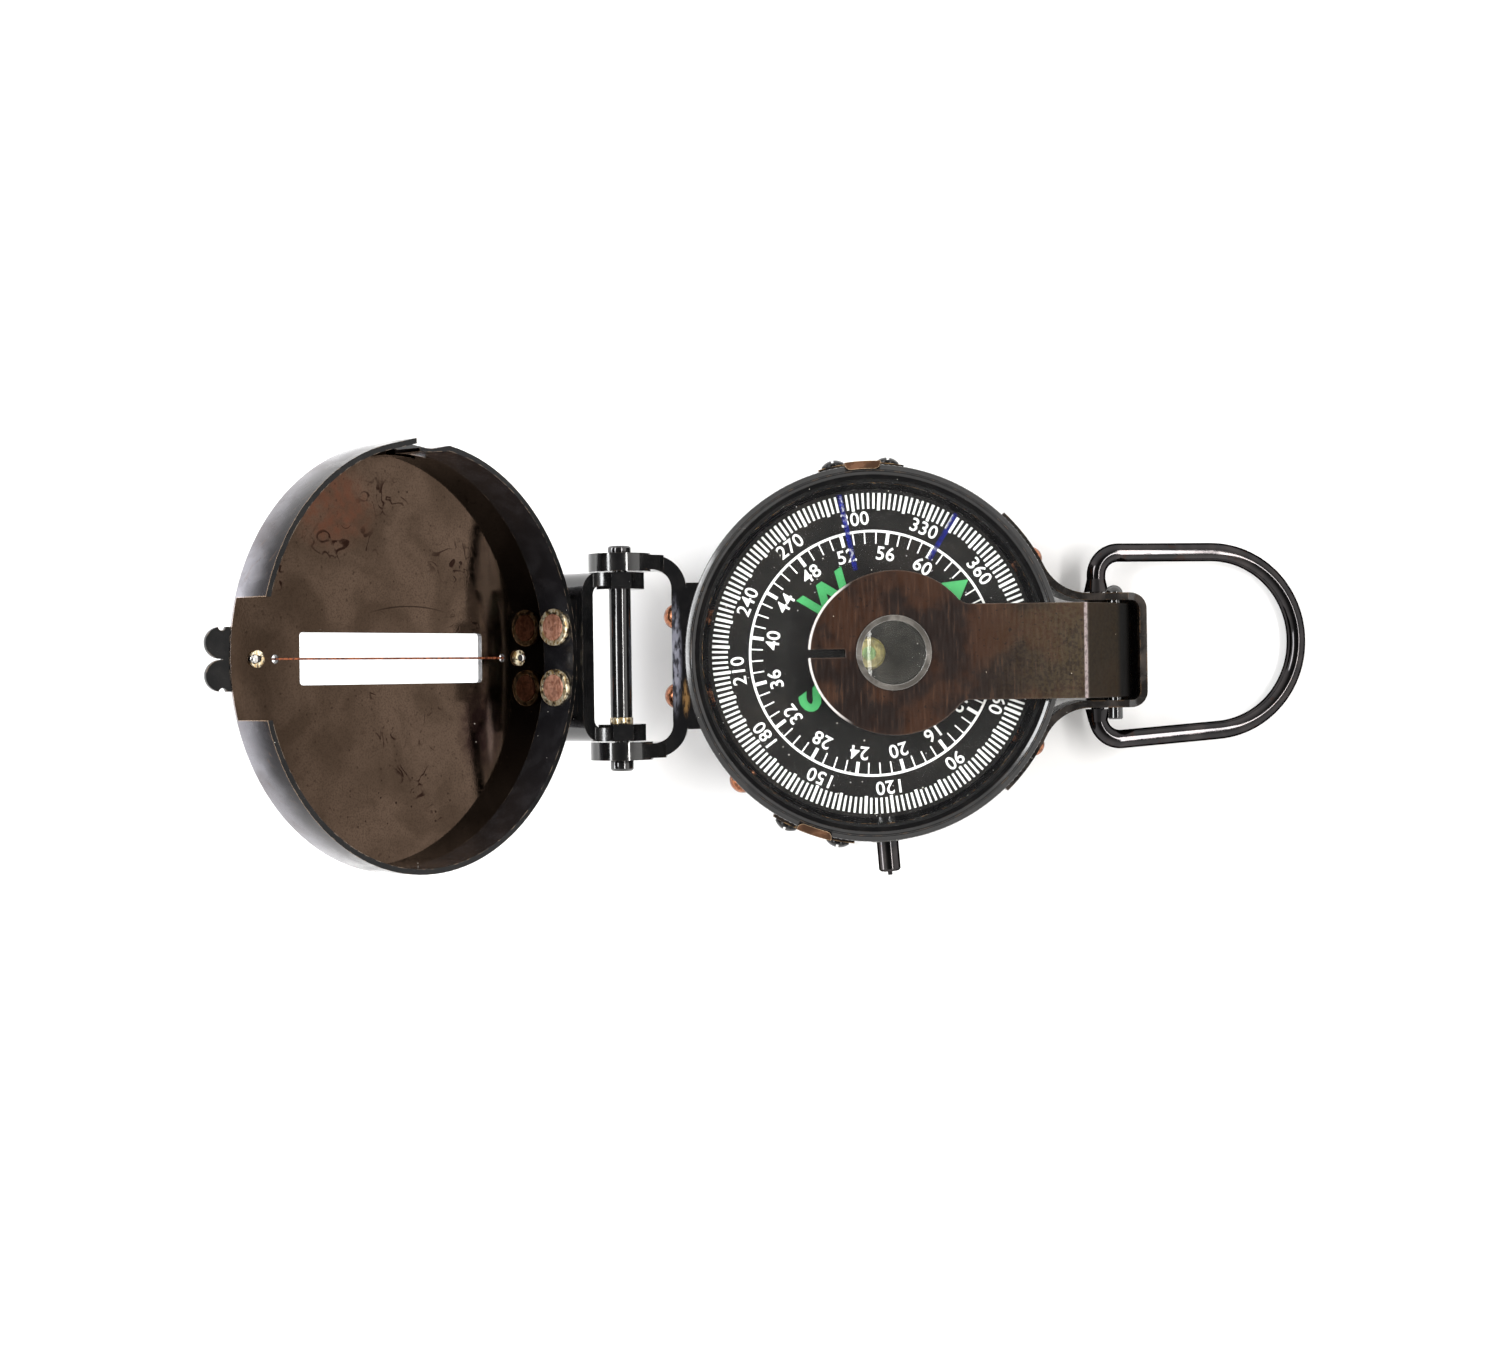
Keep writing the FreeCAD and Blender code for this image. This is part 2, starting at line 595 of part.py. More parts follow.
def strap_half_edges(offset):
    """Edges of the +Y half of the strap's line in plan, shifted outward by offset, from wing tip to the web's middle."""
    wall_r = CASE_R + BRACKET_T / 2 + offset
    line_y = BRACKET_Y - BRACKET_T / 2 + offset
    web_x = BRACKET_END_X - BRACKET_T / 2 + offset
    flare_r = BRACKET_FLARE_R - offset
    flare_y = line_y + flare_r
    flare_x = math.sqrt((wall_r + flare_r) ** 2 - flare_y ** 2)
    meet_deg = math.degrees(math.atan2(flare_y, flare_x))
    centre = V(flare_x, flare_y, 0)
    corner_r = BRACKET_CORNER_R - BRACKET_T / 2 + offset
    corner = V(web_x - corner_r, line_y - corner_r, 0)
    flare_mid = (meet_deg + 180 + 270) / 2
    return [
        arc_between(V(0, 0, 0), wall_r, BRACKET_WING_DEG, (BRACKET_WING_DEG + meet_deg) / 2, meet_deg),
        arc_between(centre, flare_r, meet_deg + 180, flare_mid, 270),
        Part.LineSegment(V(flare_x, line_y, 0), V(corner.x, line_y, 0)).toShape(),
        arc_between(corner, corner_r, 90, 45, 0),
        Part.LineSegment(V(web_x, corner.y, 0), V(web_x, 0, 0)).toShape(),
    ]


def make_rear_bracket(case):
    outer = strap_half_edges(BRACKET_T / 2)
    inner = strap_half_edges(-BRACKET_T / 2)
    tip_in, tip_out = polar(CASE_R, BRACKET_WING_DEG), polar(CASE_R + BRACKET_T, BRACKET_WING_DEG)
    mid_in, mid_out = V(BRACKET_END_X - BRACKET_T, 0, 0), V(BRACKET_END_X, 0, 0)
    ends = [Part.LineSegment(tip_in, tip_out).toShape(), Part.LineSegment(mid_in, mid_out).toShape()]
    face = Part.Face(Part.Wire(Part.__sortEdges__(outer + inner + ends)))
    face.translate(V(0, 0, BRACKET_BOTTOM))
    strap = both_sides(face.extrude(V(0, 0, BRACKET_TOP - BRACKET_BOTTOM))).removeSplitter()
    web_slope = side_plate([
        (ARM_PIVOT_X + 1.8, BRACKET_TOP), (BRACKET_END_X - 1.6, BRACKET_WEB_TOP), (BRACKET_END_X + 2, BRACKET_WEB_TOP),
        (BRACKET_END_X + 2, BRACKET_TOP + 2), (ARM_PIVOT_X + 1.8, BRACKET_TOP + 2),
    ], -12, 12)
    wing_trim = box((10, -24, BRACKET_BOTTOM - 1), (26.5, 24, BRACKET_WING_Z[0]))
    inside_y = BRACKET_Y - BRACKET_T
    floor = box((BRACKET_FLOOR_X, -inside_y, BRACKET_BOTTOM),
                (BRACKET_END_X - BRACKET_T, inside_y, BRACKET_BOTTOM + BRACKET_FLOOR_T))
    strap = strap.cut(web_slope).cut(wing_trim).fuse(floor).removeSplitter()
    strap = strap.cut(cyl(PIN_R, 30, V(ARM_PIVOT_X, -15, ARM_PIVOT_Z), Y_AXIS))
    strap = strap.cut(cyl(RING_STUB_R + 0.06, 30, V(RING_PIVOT_X, -15, RING_PIVOT_Z), Y_AXIS))
    rivets = []
    for side in (1, -1):
        deg = side * WING_RIVET_DEG
        out = outward(deg)
        shank = cyl(1.0, BRACKET_T + CASE_WALL + 0.2, polar(CASE_R - CASE_WALL - 0.2, deg, WING_RIVET_Z), out)
        head = dome(WING_RIVET_R, WING_RIVET_DOME, polar(CASE_R + BRACKET_T - 0.05, deg, WING_RIVET_Z), out)
        tail = cyl(1.5, 0.8, polar(CASE_R - CASE_WALL - 0.4, deg, WING_RIVET_Z), out)
        rivets.append(shank.fuse([head, tail]).removeSplitter())
    group = Part.makeCompound(rivets)
    save("rear_bracket", strap.cut(group))
    save("rear_bracket_rivets", group)
    return case.cut(group)


def make_arm_pin():
    reach = BRACKET_Y
    end_y = -reach - ARM_PIN_TAIL
    pin = cyl(PIN_R, reach - end_y, V(ARM_PIVOT_X, end_y, ARM_PIVOT_Z), Y_AXIS)
    pin = pin.makeChamfer(0.2, edges_near(pin, lambda e: abs(e.CenterOfMass.y - end_y) < 0.01 and e.Length > 5))
    head = dome(ARM_PIN_HEAD_R, ARM_PIN_HEAD_H, V(ARM_PIVOT_X, reach, ARM_PIVOT_Z), Y_AXIS)
    save("lens_arm_pin", pin.fuse(head).removeSplitter())


# ---- lens arm --------------------------------------------------------------------------------------------------------
def arm_head():
    """Round plate that is drawn out a little towards the rear sight slot."""
    centre = V(ARM_HEAD_X, 0, ARM_Z)
    tip = centre - V(ARM_HEAD_LONG_R, 0, 0)
    oval = Part.Ellipse(tip, centre + V(0, ARM_HEAD_R, 0), centre).toShape()
    oval = Part.Face(Part.Wire(oval)).extrude(V(0, 0, ARM_T))
    far = box((ARM_HEAD_X, -ARM_HEAD_R - 1, ARM_Z - 1), (ARM_HEAD_X + 20, ARM_HEAD_R + 1, ARM_Z + 3))
    return cyl(ARM_HEAD_R, ARM_T, centre).fuse(oval.cut(far)).removeSplitter()


def make_lens_arm():
    half = ARM_NECK_W / 2
    head = arm_head()
    neck = box((ARM_HEAD_X, -half, ARM_Z), (ARM_BEND_X, half, ARM_Z + ARM_T))
    plate = head.fuse(neck).removeSplitter()
    join_x = ARM_HEAD_X + math.sqrt(ARM_HEAD_R ** 2 - half ** 2)
    joins = edges_near(plate, lambda e: is_vertical(e) and abs(e.CenterOfMass.x - join_x) < 0.05)
    plate = plate.makeFillet(ARM_NECK_FILLET, joins)
    mid_z = ARM_Z + ARM_T / 2
    mid_r = KNUCKLE_R - ARM_T / 2
    touch = tangent_point(ARM_BEND_X, mid_z, ARM_PIVOT_X, ARM_PIVOT_Z, mid_r, 1)
    along = V(touch[0] - ARM_BEND_X, 0, touch[1] - mid_z)
    across = V(-along.z, 0, along.x).normalize() * (ARM_T / 2)
    start = V(ARM_BEND_X, -half, mid_z)
    slope = prism([start + across, start + along + across, start + along - across, start - across],
                  V(0, ARM_NECK_W, 0))
    bend = cyl(ARM_T / 2, ARM_NECK_W, start, Y_AXIS)
    knuckle = cyl(KNUCKLE_R, ARM_NECK_W, V(ARM_PIVOT_X, -half, ARM_PIVOT_Z), Y_AXIS)
    arm = plate.fuse([slope, bend, knuckle]).removeSplitter()
    arm = arm.cut(cyl(PIN_R + PIN_RUN_GAP, 40, V(ARM_PIVOT_X, -20, ARM_PIVOT_Z), Y_AXIS))
    arm = arm.cut(cyl(LENS_HOLE_R, 5, V(LENS_X, 0, ARM_Z - 2)))
    edge_x = ARM_HEAD_X - ARM_HEAD_LONG_R
    arm = arm.cut(box((edge_x - 1, -REAR_SIGHT_W / 2, ARM_Z - 1), (edge_x + REAR_SIGHT_L, REAR_SIGHT_W / 2, ARM_Z + 3)))
    save("lens_arm_plate", arm)
    low = ARM_Z - 0.1
    high = ARM_Z + ARM_T + 0.45
    cell = revolved([
        (LENS_R, low), (LENS_HOLE_R, low), (LENS_HOLE_R, ARM_Z + ARM_T), (LENS_HOLE_R + 0.3, ARM_Z + ARM_T),
        (LENS_HOLE_R + 0.2, high), (LENS_R, high), (LENS_R, high - 0.2), (LENS_R, low + 0.3),
    ])
    save("lens_ring", cell.translated(V(LENS_X, 0, 0)))
    save("lens", make_lens(low).translated(V(LENS_X, 0, 0)))


def make_lens(low):
    """Lens with two shallow curved faces."""
    edge_low, edge_high, crown = low + 0.35, low + 0.95, 0.42
    lower = Part.Arc(V(0, 0, edge_low - 0.3), V(LENS_R / 2, 0, edge_low - 0.225), V(LENS_R, 0, edge_low)).toShape()
    upper = Part.Arc(V(0, 0, edge_high + crown), V(LENS_R / 2, 0, edge_high + crown * 0.75),
                     V(LENS_R, 0, edge_high)).toShape()
    side = Part.LineSegment(V(LENS_R, 0, edge_low), V(LENS_R, 0, edge_high)).toShape()
    core = Part.LineSegment(V(0, 0, edge_low - 0.3), V(0, 0, edge_high + crown)).toShape()
    wire = Part.Wire(Part.__sortEdges__([lower, side, upper, core]))
    return Part.Face(wire).revolve(V(0, 0, 0), Z_AXIS, 360)


# ---- carrying ring ---------------------------------------------------------------------------------------------------
def rounded_path(corners, radii):
    """Edges of a level path through corners, each inner corner rounded by its radius."""
    edges = []
    at = corners[0]
    for k, radius in enumerate(radii, start=1):
        back = (corners[k - 1] - corners[k]).normalize()
        ahead = (corners[k + 1] - corners[k]).normalize()
        half = back.getAngle(ahead) / 2
        run = radius / math.tan(half)
        start = corners[k] + back * run
        end = corners[k] + ahead * run
        middle = corners[k] + (back + ahead).normalize() * (radius / math.sin(half) - radius)
        edges.append(Part.LineSegment(at, start).toShape())
        edges.append(Part.Arc(start, middle, end).toShape())
        at = end
    edges.append(Part.LineSegment(at, corners[-1]).toShape())
    return edges


def make_carry_ring():
    """Bent wire loop, drawn level and then tipped until its far end is down at the base plane."""
    reach = RING_END_X - RING_PIVOT_X
    y_plus, y_minus = RING_LEG_Y
    rise = reach * math.tan(math.radians(RING_LEG_SLOPE_DEG))
    shoulder = BRACKET_Y + RING_SHOULDER_GAP
    corners = [V(0, shoulder, 0), V(0, y_plus, 0), V(reach, y_plus, 0), V(reach, y_minus + rise, 0),
               V(0, y_minus, 0), V(0, -shoulder, 0)]
    path = Part.Wire(rounded_path(corners, (RING_CORNER_R, RING_BOW_R, RING_BOW_R, RING_CORNER_R)))
    section = Part.Wire(Part.makeCircle(RING_WIRE_R, corners[0], Y_AXIS))
    loop = path.makePipeShell([section], True, True)
    stub = cyl(RING_STUB_R, shoulder - (BRACKET_Y - BRACKET_T), V(0, BRACKET_Y - BRACKET_T, 0), Y_AXIS)
    foot = Part.makeCone(RING_FOOT_R, RING_WIRE_R, RING_FOOT_L, corners[0], Y_AXIS)
    loop = loop.fuse([stub, mirrored(stub), foot, mirrored(foot)]).removeSplitter()
    drop = math.degrees(math.asin((RING_PIVOT_Z - RING_WIRE_R - 0.02) / reach))
    loop.rotate(V(0, 0, 0), Y_AXIS, drop)
    loop.translate(V(RING_PIVOT_X, 0, RING_PIVOT_Z))
    save("carry_ring", loop)
    print("ring drop in degrees:", round(drop, 3))


# ---- bezel clips and wall rivet --------------------------------------------------------------------------------------
def make_clips(case):
    screws = []
    for number, deg in enumerate(CLIP_DEG, start=1):
        strip = ring_sector(CASE_R, CASE_R + CLIP_T, *CLIP_Z, deg - CLIP_HALF_ANGLE, deg + CLIP_HALF_ANGLE)
        side_r = BEZEL_R + TONGUE_GAP
        top_z = BEZEL_TOP + TONGUE_GAP
        lo, hi = deg - TONGUE_HALF_ANGLE, deg + TONGUE_HALF_ANGLE
        window = ring_sector(CASE_R - 1, CASE_R + 1, CLIP_WINDOW_Z, CLIP_Z[1] + 1, lo, hi)
        foot = ring_sector(CASE_R, side_r + TONGUE_T, CLIP_WINDOW_Z, BEZEL_BOTTOM - 0.35, lo, hi)
        riser = ring_sector(side_r, side_r + TONGUE_T, BEZEL_BOTTOM - 0.35, top_z, lo, hi)
        tip_r = BEZEL_R - TONGUE_REACH
        hook = ring_sector(tip_r, side_r + TONGUE_T, top_z, top_z + TONGUE_T, lo, hi)
        corners = edges_near(hook, lambda e: is_vertical(e) and math.hypot(e.CenterOfMass.x, e.CenterOfMass.y) < BEZEL_R)
        hook = hook.makeFillet(TONGUE_CORNER_R, corners)
        tongue = foot.fuse([riser, hook]).removeSplitter()
        for side in (1, -1):
            at = deg + side * CLIP_SCREW_ANGLE
            out = outward(at)
            shank = cyl(0.7, CASE_WALL + CLIP_T, polar(CASE_R - CASE_WALL, at, CLIP_SCREW_Z), out)
            side_end = CASE_R + CLIP_T + CLIP_SCREW_SIDE
            side_wall = cyl(CLIP_SCREW_R, CLIP_SCREW_SIDE, polar(CASE_R + CLIP_T, at, CLIP_SCREW_Z), out)
            crown = dome(CLIP_SCREW_R, CLIP_SCREW_DOME, polar(side_end, at, CLIP_SCREW_Z), out)
            slot = box((side_end + CLIP_SCREW_DOME - CLIP_SCREW_SLOT, -0.2, -2), (CASE_R + 4, 0.2, 2))
            head = side_wall.fuse(crown).cut(placed(slot, at, CLIP_SCREW_Z))
            screws.append(shank.fuse(head).removeSplitter())
        group = Part.makeCompound(screws)
        save(f"bezel_clip_{number}", strip.cut(window).cut(group))
        save(f"clip_tongue_{number}", tongue.cut(group))
    save("clip_screws", group)
    case = case.cut(group)
    out = outward(WALL_RIVET_DEG)
    shank = cyl(1.0, CASE_WALL + 0.3, polar(CASE_R - CASE_WALL - 0.3, WALL_RIVET_DEG, WALL_RIVET_Z), out)
    side_wall = cyl(WALL_RIVET_R, WALL_RIVET_SIDE + 0.1, polar(CASE_R - 0.1, WALL_RIVET_DEG, WALL_RIVET_Z), out)
    crown = dome(WALL_RIVET_R, WALL_RIVET_DOME, polar(CASE_R + WALL_RIVET_SIDE, WALL_RIVET_DEG, WALL_RIVET_Z), out)
    wall_rivet = shank.fuse([side_wall, crown]).removeSplitter()
    save("wall_rivet", wall_rivet)
    return case.cut(wall_rivet)


# ---- card brake ------------------------------------------------------------------------------------------------------
def make_brake(case):
    """Everything here is drawn along +X and turned to the plunger's angle."""
    inner = CASE_R - CASE_WALL
    axis_z = PLUNGER_Z
    cone0, cone1 = PLUNGER_CONE
    rod = Part.makeCone(PLUNGER_NOSE_R, PLUNGER_R, cone1 - cone0, V(cone0, 0, axis_z), X_AXIS)
    rod = rod.fuse(cyl(PLUNGER_R, PLUNGER_END - 0.3 - cone1, V(cone1, 0, axis_z), X_AXIS))
    rod = rod.fuse(Part.makeCone(PLUNGER_R, PLUNGER_R - 0.3, 0.3, V(PLUNGER_END - 0.3, 0, axis_z), X_AXIS))
    rod = rod.fuse(cyl(0.35, 0.6, V(PLUNGER_END, 0, axis_z), X_AXIS)).removeSplitter()
    clip_x = inner - 1.2 - 0.55
    groove = cyl(PLUNGER_R + 1, 0.5, V(clip_x, 0, axis_z), X_AXIS).cut(cyl(1.2, 0.5, V(clip_x, 0, axis_z), X_AXIS))
    rod = rod.cut(groove)
    clip = cyl(2.6, 0.5, V(clip_x, 0, axis_z), X_AXIS).cut(cyl(1.2, 0.5, V(clip_x, 0, axis_z), X_AXIS))
    clip = clip.cut(box((clip_x - 1, -0.8, axis_z - 4), (clip_x + 1, 0.8, axis_z)))
    guide = cyl(GUIDE_R, CASE_WALL + 1.7, V(inner - 1.2, 0, axis_z), X_AXIS)
    guide = guide.cut(cyl(PLUNGER_R + 0.06, 12, V(inner - 5, 0, axis_z), X_AXIS))
    hole = cyl(GUIDE_R, 10, V(inner - 3, 0, axis_z), X_AXIS)

    top = LEVER_BOTTOM + LEVER_T
    mid = LEVER_BOTTOM + LEVER_T / 2
    half = LEVER_WIDTH / 2
    lever = box((LEVER_PIVOT - LEVER_TAIL, -half, LEVER_BOTTOM), (LEVER_END, half, top))
    lever = lever.fuse(cyl(3.3, LEVER_T, V(0, 0, LEVER_BOTTOM)))
    lever = lever.fuse(cyl(1.1, LEVER_WIDTH, V(LEVER_PIVOT, -half, mid), Y_AXIS)).removeSplitter()
    lever = lever.cut(cyl(1.8, 5, V(0, 0, LEVER_BOTTOM - 2)))
    lever = lever.cut(cyl(LEVER_PIN_R + 0.06, 20, V(LEVER_PIVOT, -10, mid), Y_AXIS))

    ear_x0, ear_x1 = LEVER_PIVOT - 1.5, LEVER_PIVOT + 1.5
    stand = box((ear_x0, -half - 1.0, CASE_FLOOR), (ear_x1, half + 1.0, mid + 1.5))
    stand = stand.cut(box((ear_x0 - 1, -half - 0.4, CASE_FLOOR + 0.6), (ear_x1 + 1, half + 0.4, mid + 5)))
    pin = cyl(LEVER_PIN_R, LEVER_WIDTH + 2.4, V(LEVER_PIVOT, -half - 1.2, mid), Y_AXIS)
    stand = stand.cut(pin)

    leaf_x = LEVER_PIVOT - LEVER_TAIL - 1.4
    leaf_top = LEVER_BOTTOM - 0.1
    leaf = box((leaf_x - 2.9, -1.5, CASE_FLOOR), (leaf_x + 0.3, 1.5, CASE_FLOOR + 0.3))
    leaf = leaf.fuse(box((leaf_x, -1.5, CASE_FLOOR), (leaf_x + 0.3, 1.5, leaf_top)))
    leaf = leaf.fuse(box((leaf_x, -1.5, leaf_top - 0.3), (leaf_x + 2.2, 1.5, leaf_top))).removeSplitter()
    button = cyl(0.9, 0.5, V(leaf_x - 1.6, 0, CASE_FLOOR + 0.3))
    pieces = {
        "brake_plunger": rod, "plunger_clip": clip, "plunger_guide": guide, "brake_lever": lever,
        "lever_stand": stand, "lever_pin": pin, "lever_spring": leaf, "lever_spring_rivet": button,
    }
    for name, shape in pieces.items():
        save(name, placed(shape, PLUNGER_DEG))
    return case.cut(placed(hole, PLUNGER_DEG))


def main():
    case = make_case()
    case = make_front_bracket(case)
    case = make_rear_bracket(case)
    case = make_clips(case)
    case = make_brake(case)
    save("case_body", case)
    make_hinge_pin()
    make_arm_pin()
    make_bezel()
    make_card()
    make_pivot()
    make_lid()
    make_lens_arm()
    make_carry_ring()
    os.makedirs("parts", exist_ok=True)
    for old in os.listdir("parts"):
        os.remove(os.path.join("parts", old))
    for name, shape in parts.items():
        shape.exportStep(os.path.join("parts", name + ".step"))
    print(len(parts), "nodes")


main()
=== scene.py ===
"""Looks for the lensatic pocket compass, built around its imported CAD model.

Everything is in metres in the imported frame; sizes written in millimetres are multiplied by MM. The
origin is the centre of the case's base, +X points to the carrying ring and +Z out of the dial.
"""
import bmesh
import bpy
import json
import math
from mathutils import Matrix, Vector

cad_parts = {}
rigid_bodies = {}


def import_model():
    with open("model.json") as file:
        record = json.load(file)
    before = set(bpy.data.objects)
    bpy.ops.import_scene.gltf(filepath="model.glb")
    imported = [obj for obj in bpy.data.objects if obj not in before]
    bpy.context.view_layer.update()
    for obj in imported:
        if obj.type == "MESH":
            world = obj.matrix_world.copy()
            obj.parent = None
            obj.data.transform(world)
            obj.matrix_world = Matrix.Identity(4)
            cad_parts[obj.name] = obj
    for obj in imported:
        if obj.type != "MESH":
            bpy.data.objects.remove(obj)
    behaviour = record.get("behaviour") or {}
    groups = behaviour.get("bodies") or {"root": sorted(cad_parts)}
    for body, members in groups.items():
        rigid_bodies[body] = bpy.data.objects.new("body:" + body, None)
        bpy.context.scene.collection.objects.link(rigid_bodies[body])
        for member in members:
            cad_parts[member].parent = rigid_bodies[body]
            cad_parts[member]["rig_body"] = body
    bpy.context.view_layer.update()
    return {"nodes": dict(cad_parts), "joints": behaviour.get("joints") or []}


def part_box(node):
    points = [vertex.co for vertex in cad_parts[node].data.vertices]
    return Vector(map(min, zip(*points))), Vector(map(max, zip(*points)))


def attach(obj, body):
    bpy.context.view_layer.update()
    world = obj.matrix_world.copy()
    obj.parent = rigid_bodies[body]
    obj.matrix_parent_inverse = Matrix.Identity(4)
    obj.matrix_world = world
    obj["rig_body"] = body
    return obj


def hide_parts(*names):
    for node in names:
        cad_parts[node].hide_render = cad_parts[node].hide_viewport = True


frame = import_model()
nodes = frame["nodes"]
MM = 0.001

# ---- places read from the frame ------------------------------------------------------------------
BEZEL_LOW, BEZEL_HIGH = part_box("bezel_ring")
BEZEL_R = BEZEL_HIGH.x
BEZEL_TOP = BEZEL_HIGH.z
CRYSTAL_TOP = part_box("crystal")[1].z
CARD_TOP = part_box("card_disc")[1].z
LID_JOINT = next(j for j in frame["joints"] if j["name"] == "lid_hinge")
LID_SHUT_DEG = LID_JOINT["range_deg"][0]

# ---- camera --------------------------------------------------------------------------------------
CAMERA_HEIGHT = 375 * MM
CAMERA_ROLL = math.radians(-0.8)
CAMERA_OFFSET = (-18.36 * MM, -3.00 * MM)
CAMERA_LENS = 57.7

# ---- dial, in millimetres and degrees ------------------------------------------------------------
NORTH_DEG = 36.8
PRINT_T = 0.02
DEGREE_TICKS = 180
DEGREE_TICK = (24.0, 21.65)
DEGREE_TICK_W = 0.33
TEN_TICK = (24.0, 21.4)
TEN_TICK_W = 0.44
DEGREE_LABEL_R = 20.1
DEGREE_LABEL_H = 1.95
DEGREE_LABEL_BOLD = 0.03
CIRCLE_R = 18.3
CIRCLE_W = 0.36
MIL_TICKS = 64
MIL_TICK = (18.2, 16.4)
MIL_TICK_W = 0.2
FOURTH_TICK_W = 0.5
MIL_LABEL_R = 14.9
MIL_LABEL_H = 1.95
MIL_LABEL_BOLD = 0.035
CAPITAL_SHARE = 0.69
ARROW = (18.1, 14.6, 4.1)
CARDINAL_R = 10.1
CARDINAL_H = 5.1
CARDINAL_BOLD = 0.26
INDEX_LINES = ((58.5, 24.4, 16.2), (101.4, 24.4, 12.6))
INDEX_W = 0.7
INDEX_SHORTER = 0.4

# ---- lid, with the lid shut ----------------------------------------------------------------------
LID_WALL_OUT_R = 30.0 * MM
LID_WALL_IN_R = 29.6 * MM
LID_FACE_Z = 21.3 * MM
LID_RIM_Z = 15.75 * MM
SOLDER_R = 0.75 * MM
SCREW_EYE_R = 0.5 * MM
COLLAR_W = 1.0 * MM
COLLAR_T = 0.12 * MM
BRONZE, WALL, OUTER, TAB = range(4)

# ---- bezel ---------------------------------------------------------------------------------------
BEZEL_TOP_EDGE = ((0.04, 0.36), (0.14, 0.26), (0.68, 0.04), (0.76, 0.0), (0.86, 0.0), (0.93, 0.05),
                  (1.0, 0.0), (1.12, 0.0), (1.18, 0.03), (1.52, 0.18), (1.59, 0.28))
BORE_IN = 1.7 * MM
BORE_FACE_IN = 1.6 * MM
SEAT_IN = 2.5 * MM
SEAT_UP = 1.4 * MM
SEAT_LIP = 0.5 * MM
BEZEL_CORNER = 0.28 * MM
BEZEL_RIDGE = 0.5 * MM
KNURL_TEETH = 200
KNURL_DEPTH = 0.16 * MM


# ---- wear and painted light and shade, seen from above with the lid open: x, y, half sizes, in millimetres ---
RED_PATCH = (-75.0, 20.7, 6.0, 7.0)
RUST_MARKS = ((-73.7, 15.8, 5.5, 4.0), (-69.0, 22.3, 4.0, 3.5), (-60.7, 13.8, 4.0, 4.0))
PITTED = (-67.2, -20.5, 10.0, 8.0)
SMUDGE = (-57.5, -10.1, 3.4, 8.0)
STREAK = (-56.3, -10.5, 0.6, 6.0)
ARC_SCRATCH = (-66.0, -5.0, 12.3)
ARC_SPOT = (-66.3, 7.0, 5.5, 2.5)
# painted reflection: lid outside goes from dark at the rim to silvery at the back between these depths
RIM_SHADE = (17.5, 24.5)
OLIVE_X = (13.0, 32.0)
# painted shade: the arm's slope past the bend is darkened
SLOPE_X = (31.4, 31.9)
# where the arm bends; a painted highlight runs along it
BEND_X = 31.3
# painted highlight: a pale crescent along the left edge of the arm's head
HEAD_PAINTED_HIGHLIGHT = (3.2, 12.95, 12.2)
HEAD_PAINTED_HIGHLIGHT_X = (-6.0, -3.0)
# painted shade: the arm's barrel is painted near black from here outward
BARREL_PAINTED_SHADE_X = (36.6, 37.6)
# painted highlight: lilac patch on the hinge web's top, in place of the key lamp's reflection
HINGE_PAINTED_HIGHLIGHT = (-29.5, 0.0, 1.15, 10.0)
HINGE_BRASS = (-28.0, -6.3, 0.7, 3.4)

# ---- floor and light -----------------------------------------------------------------------------
FLOOR_HALF = 3.0
FLOOR_GREY = 0.92
ROOM_STRENGTH = 1.9
ROOM_LEVELS = ((0.55, 0.85), (0.8, 0.5), (0.92, 0.14))
LAMPS = (
    ("key_window", (-0.68, 0.17, 0.78), 1.5, (0.8, 0.36), 16, (0.97, 0.985, 1.0)),
    ("low_window", (-1.0, 0.1, 0.27), 1.5, (1.0, 0.35), 14, (0.96, 0.97, 1.0)),
    ("right_window", (0.47, 0.0, 0.88), 1.6, (1.4, 0.1), 36, (1.0, 0.98, 0.96)),
)


# ---- colours and node trees ----------------------------------------------------------------------
def srgb(red, green, blue):
    """Linear RGBA of a colour given as three screen values from 0 to 255."""
    def linear(value):
        value /= 255
        return value / 12.92 if value <= 0.04045 else ((value + 0.055) / 1.055) ** 2.4
    return (linear(red), linear(green), linear(blue), 1.0)


def lid_to_shut():
    """Turns a point of the open lid to where it is with the lid shut."""
    pivot = Vector(LID_JOINT["pos_m"])
    turn = Matrix.Rotation(math.radians(LID_SHUT_DEG), 4, Vector(LID_JOINT["axis"]))
    return Matrix.Translation(pivot) @ turn @ Matrix.Translation(-pivot)


BLACK = (srgb(9, 9, 10), srgb(18, 17, 17))
BRONZE_DARK = srgb(58, 46, 37)
BRONZE_LIGHT = srgb(74, 60, 50)


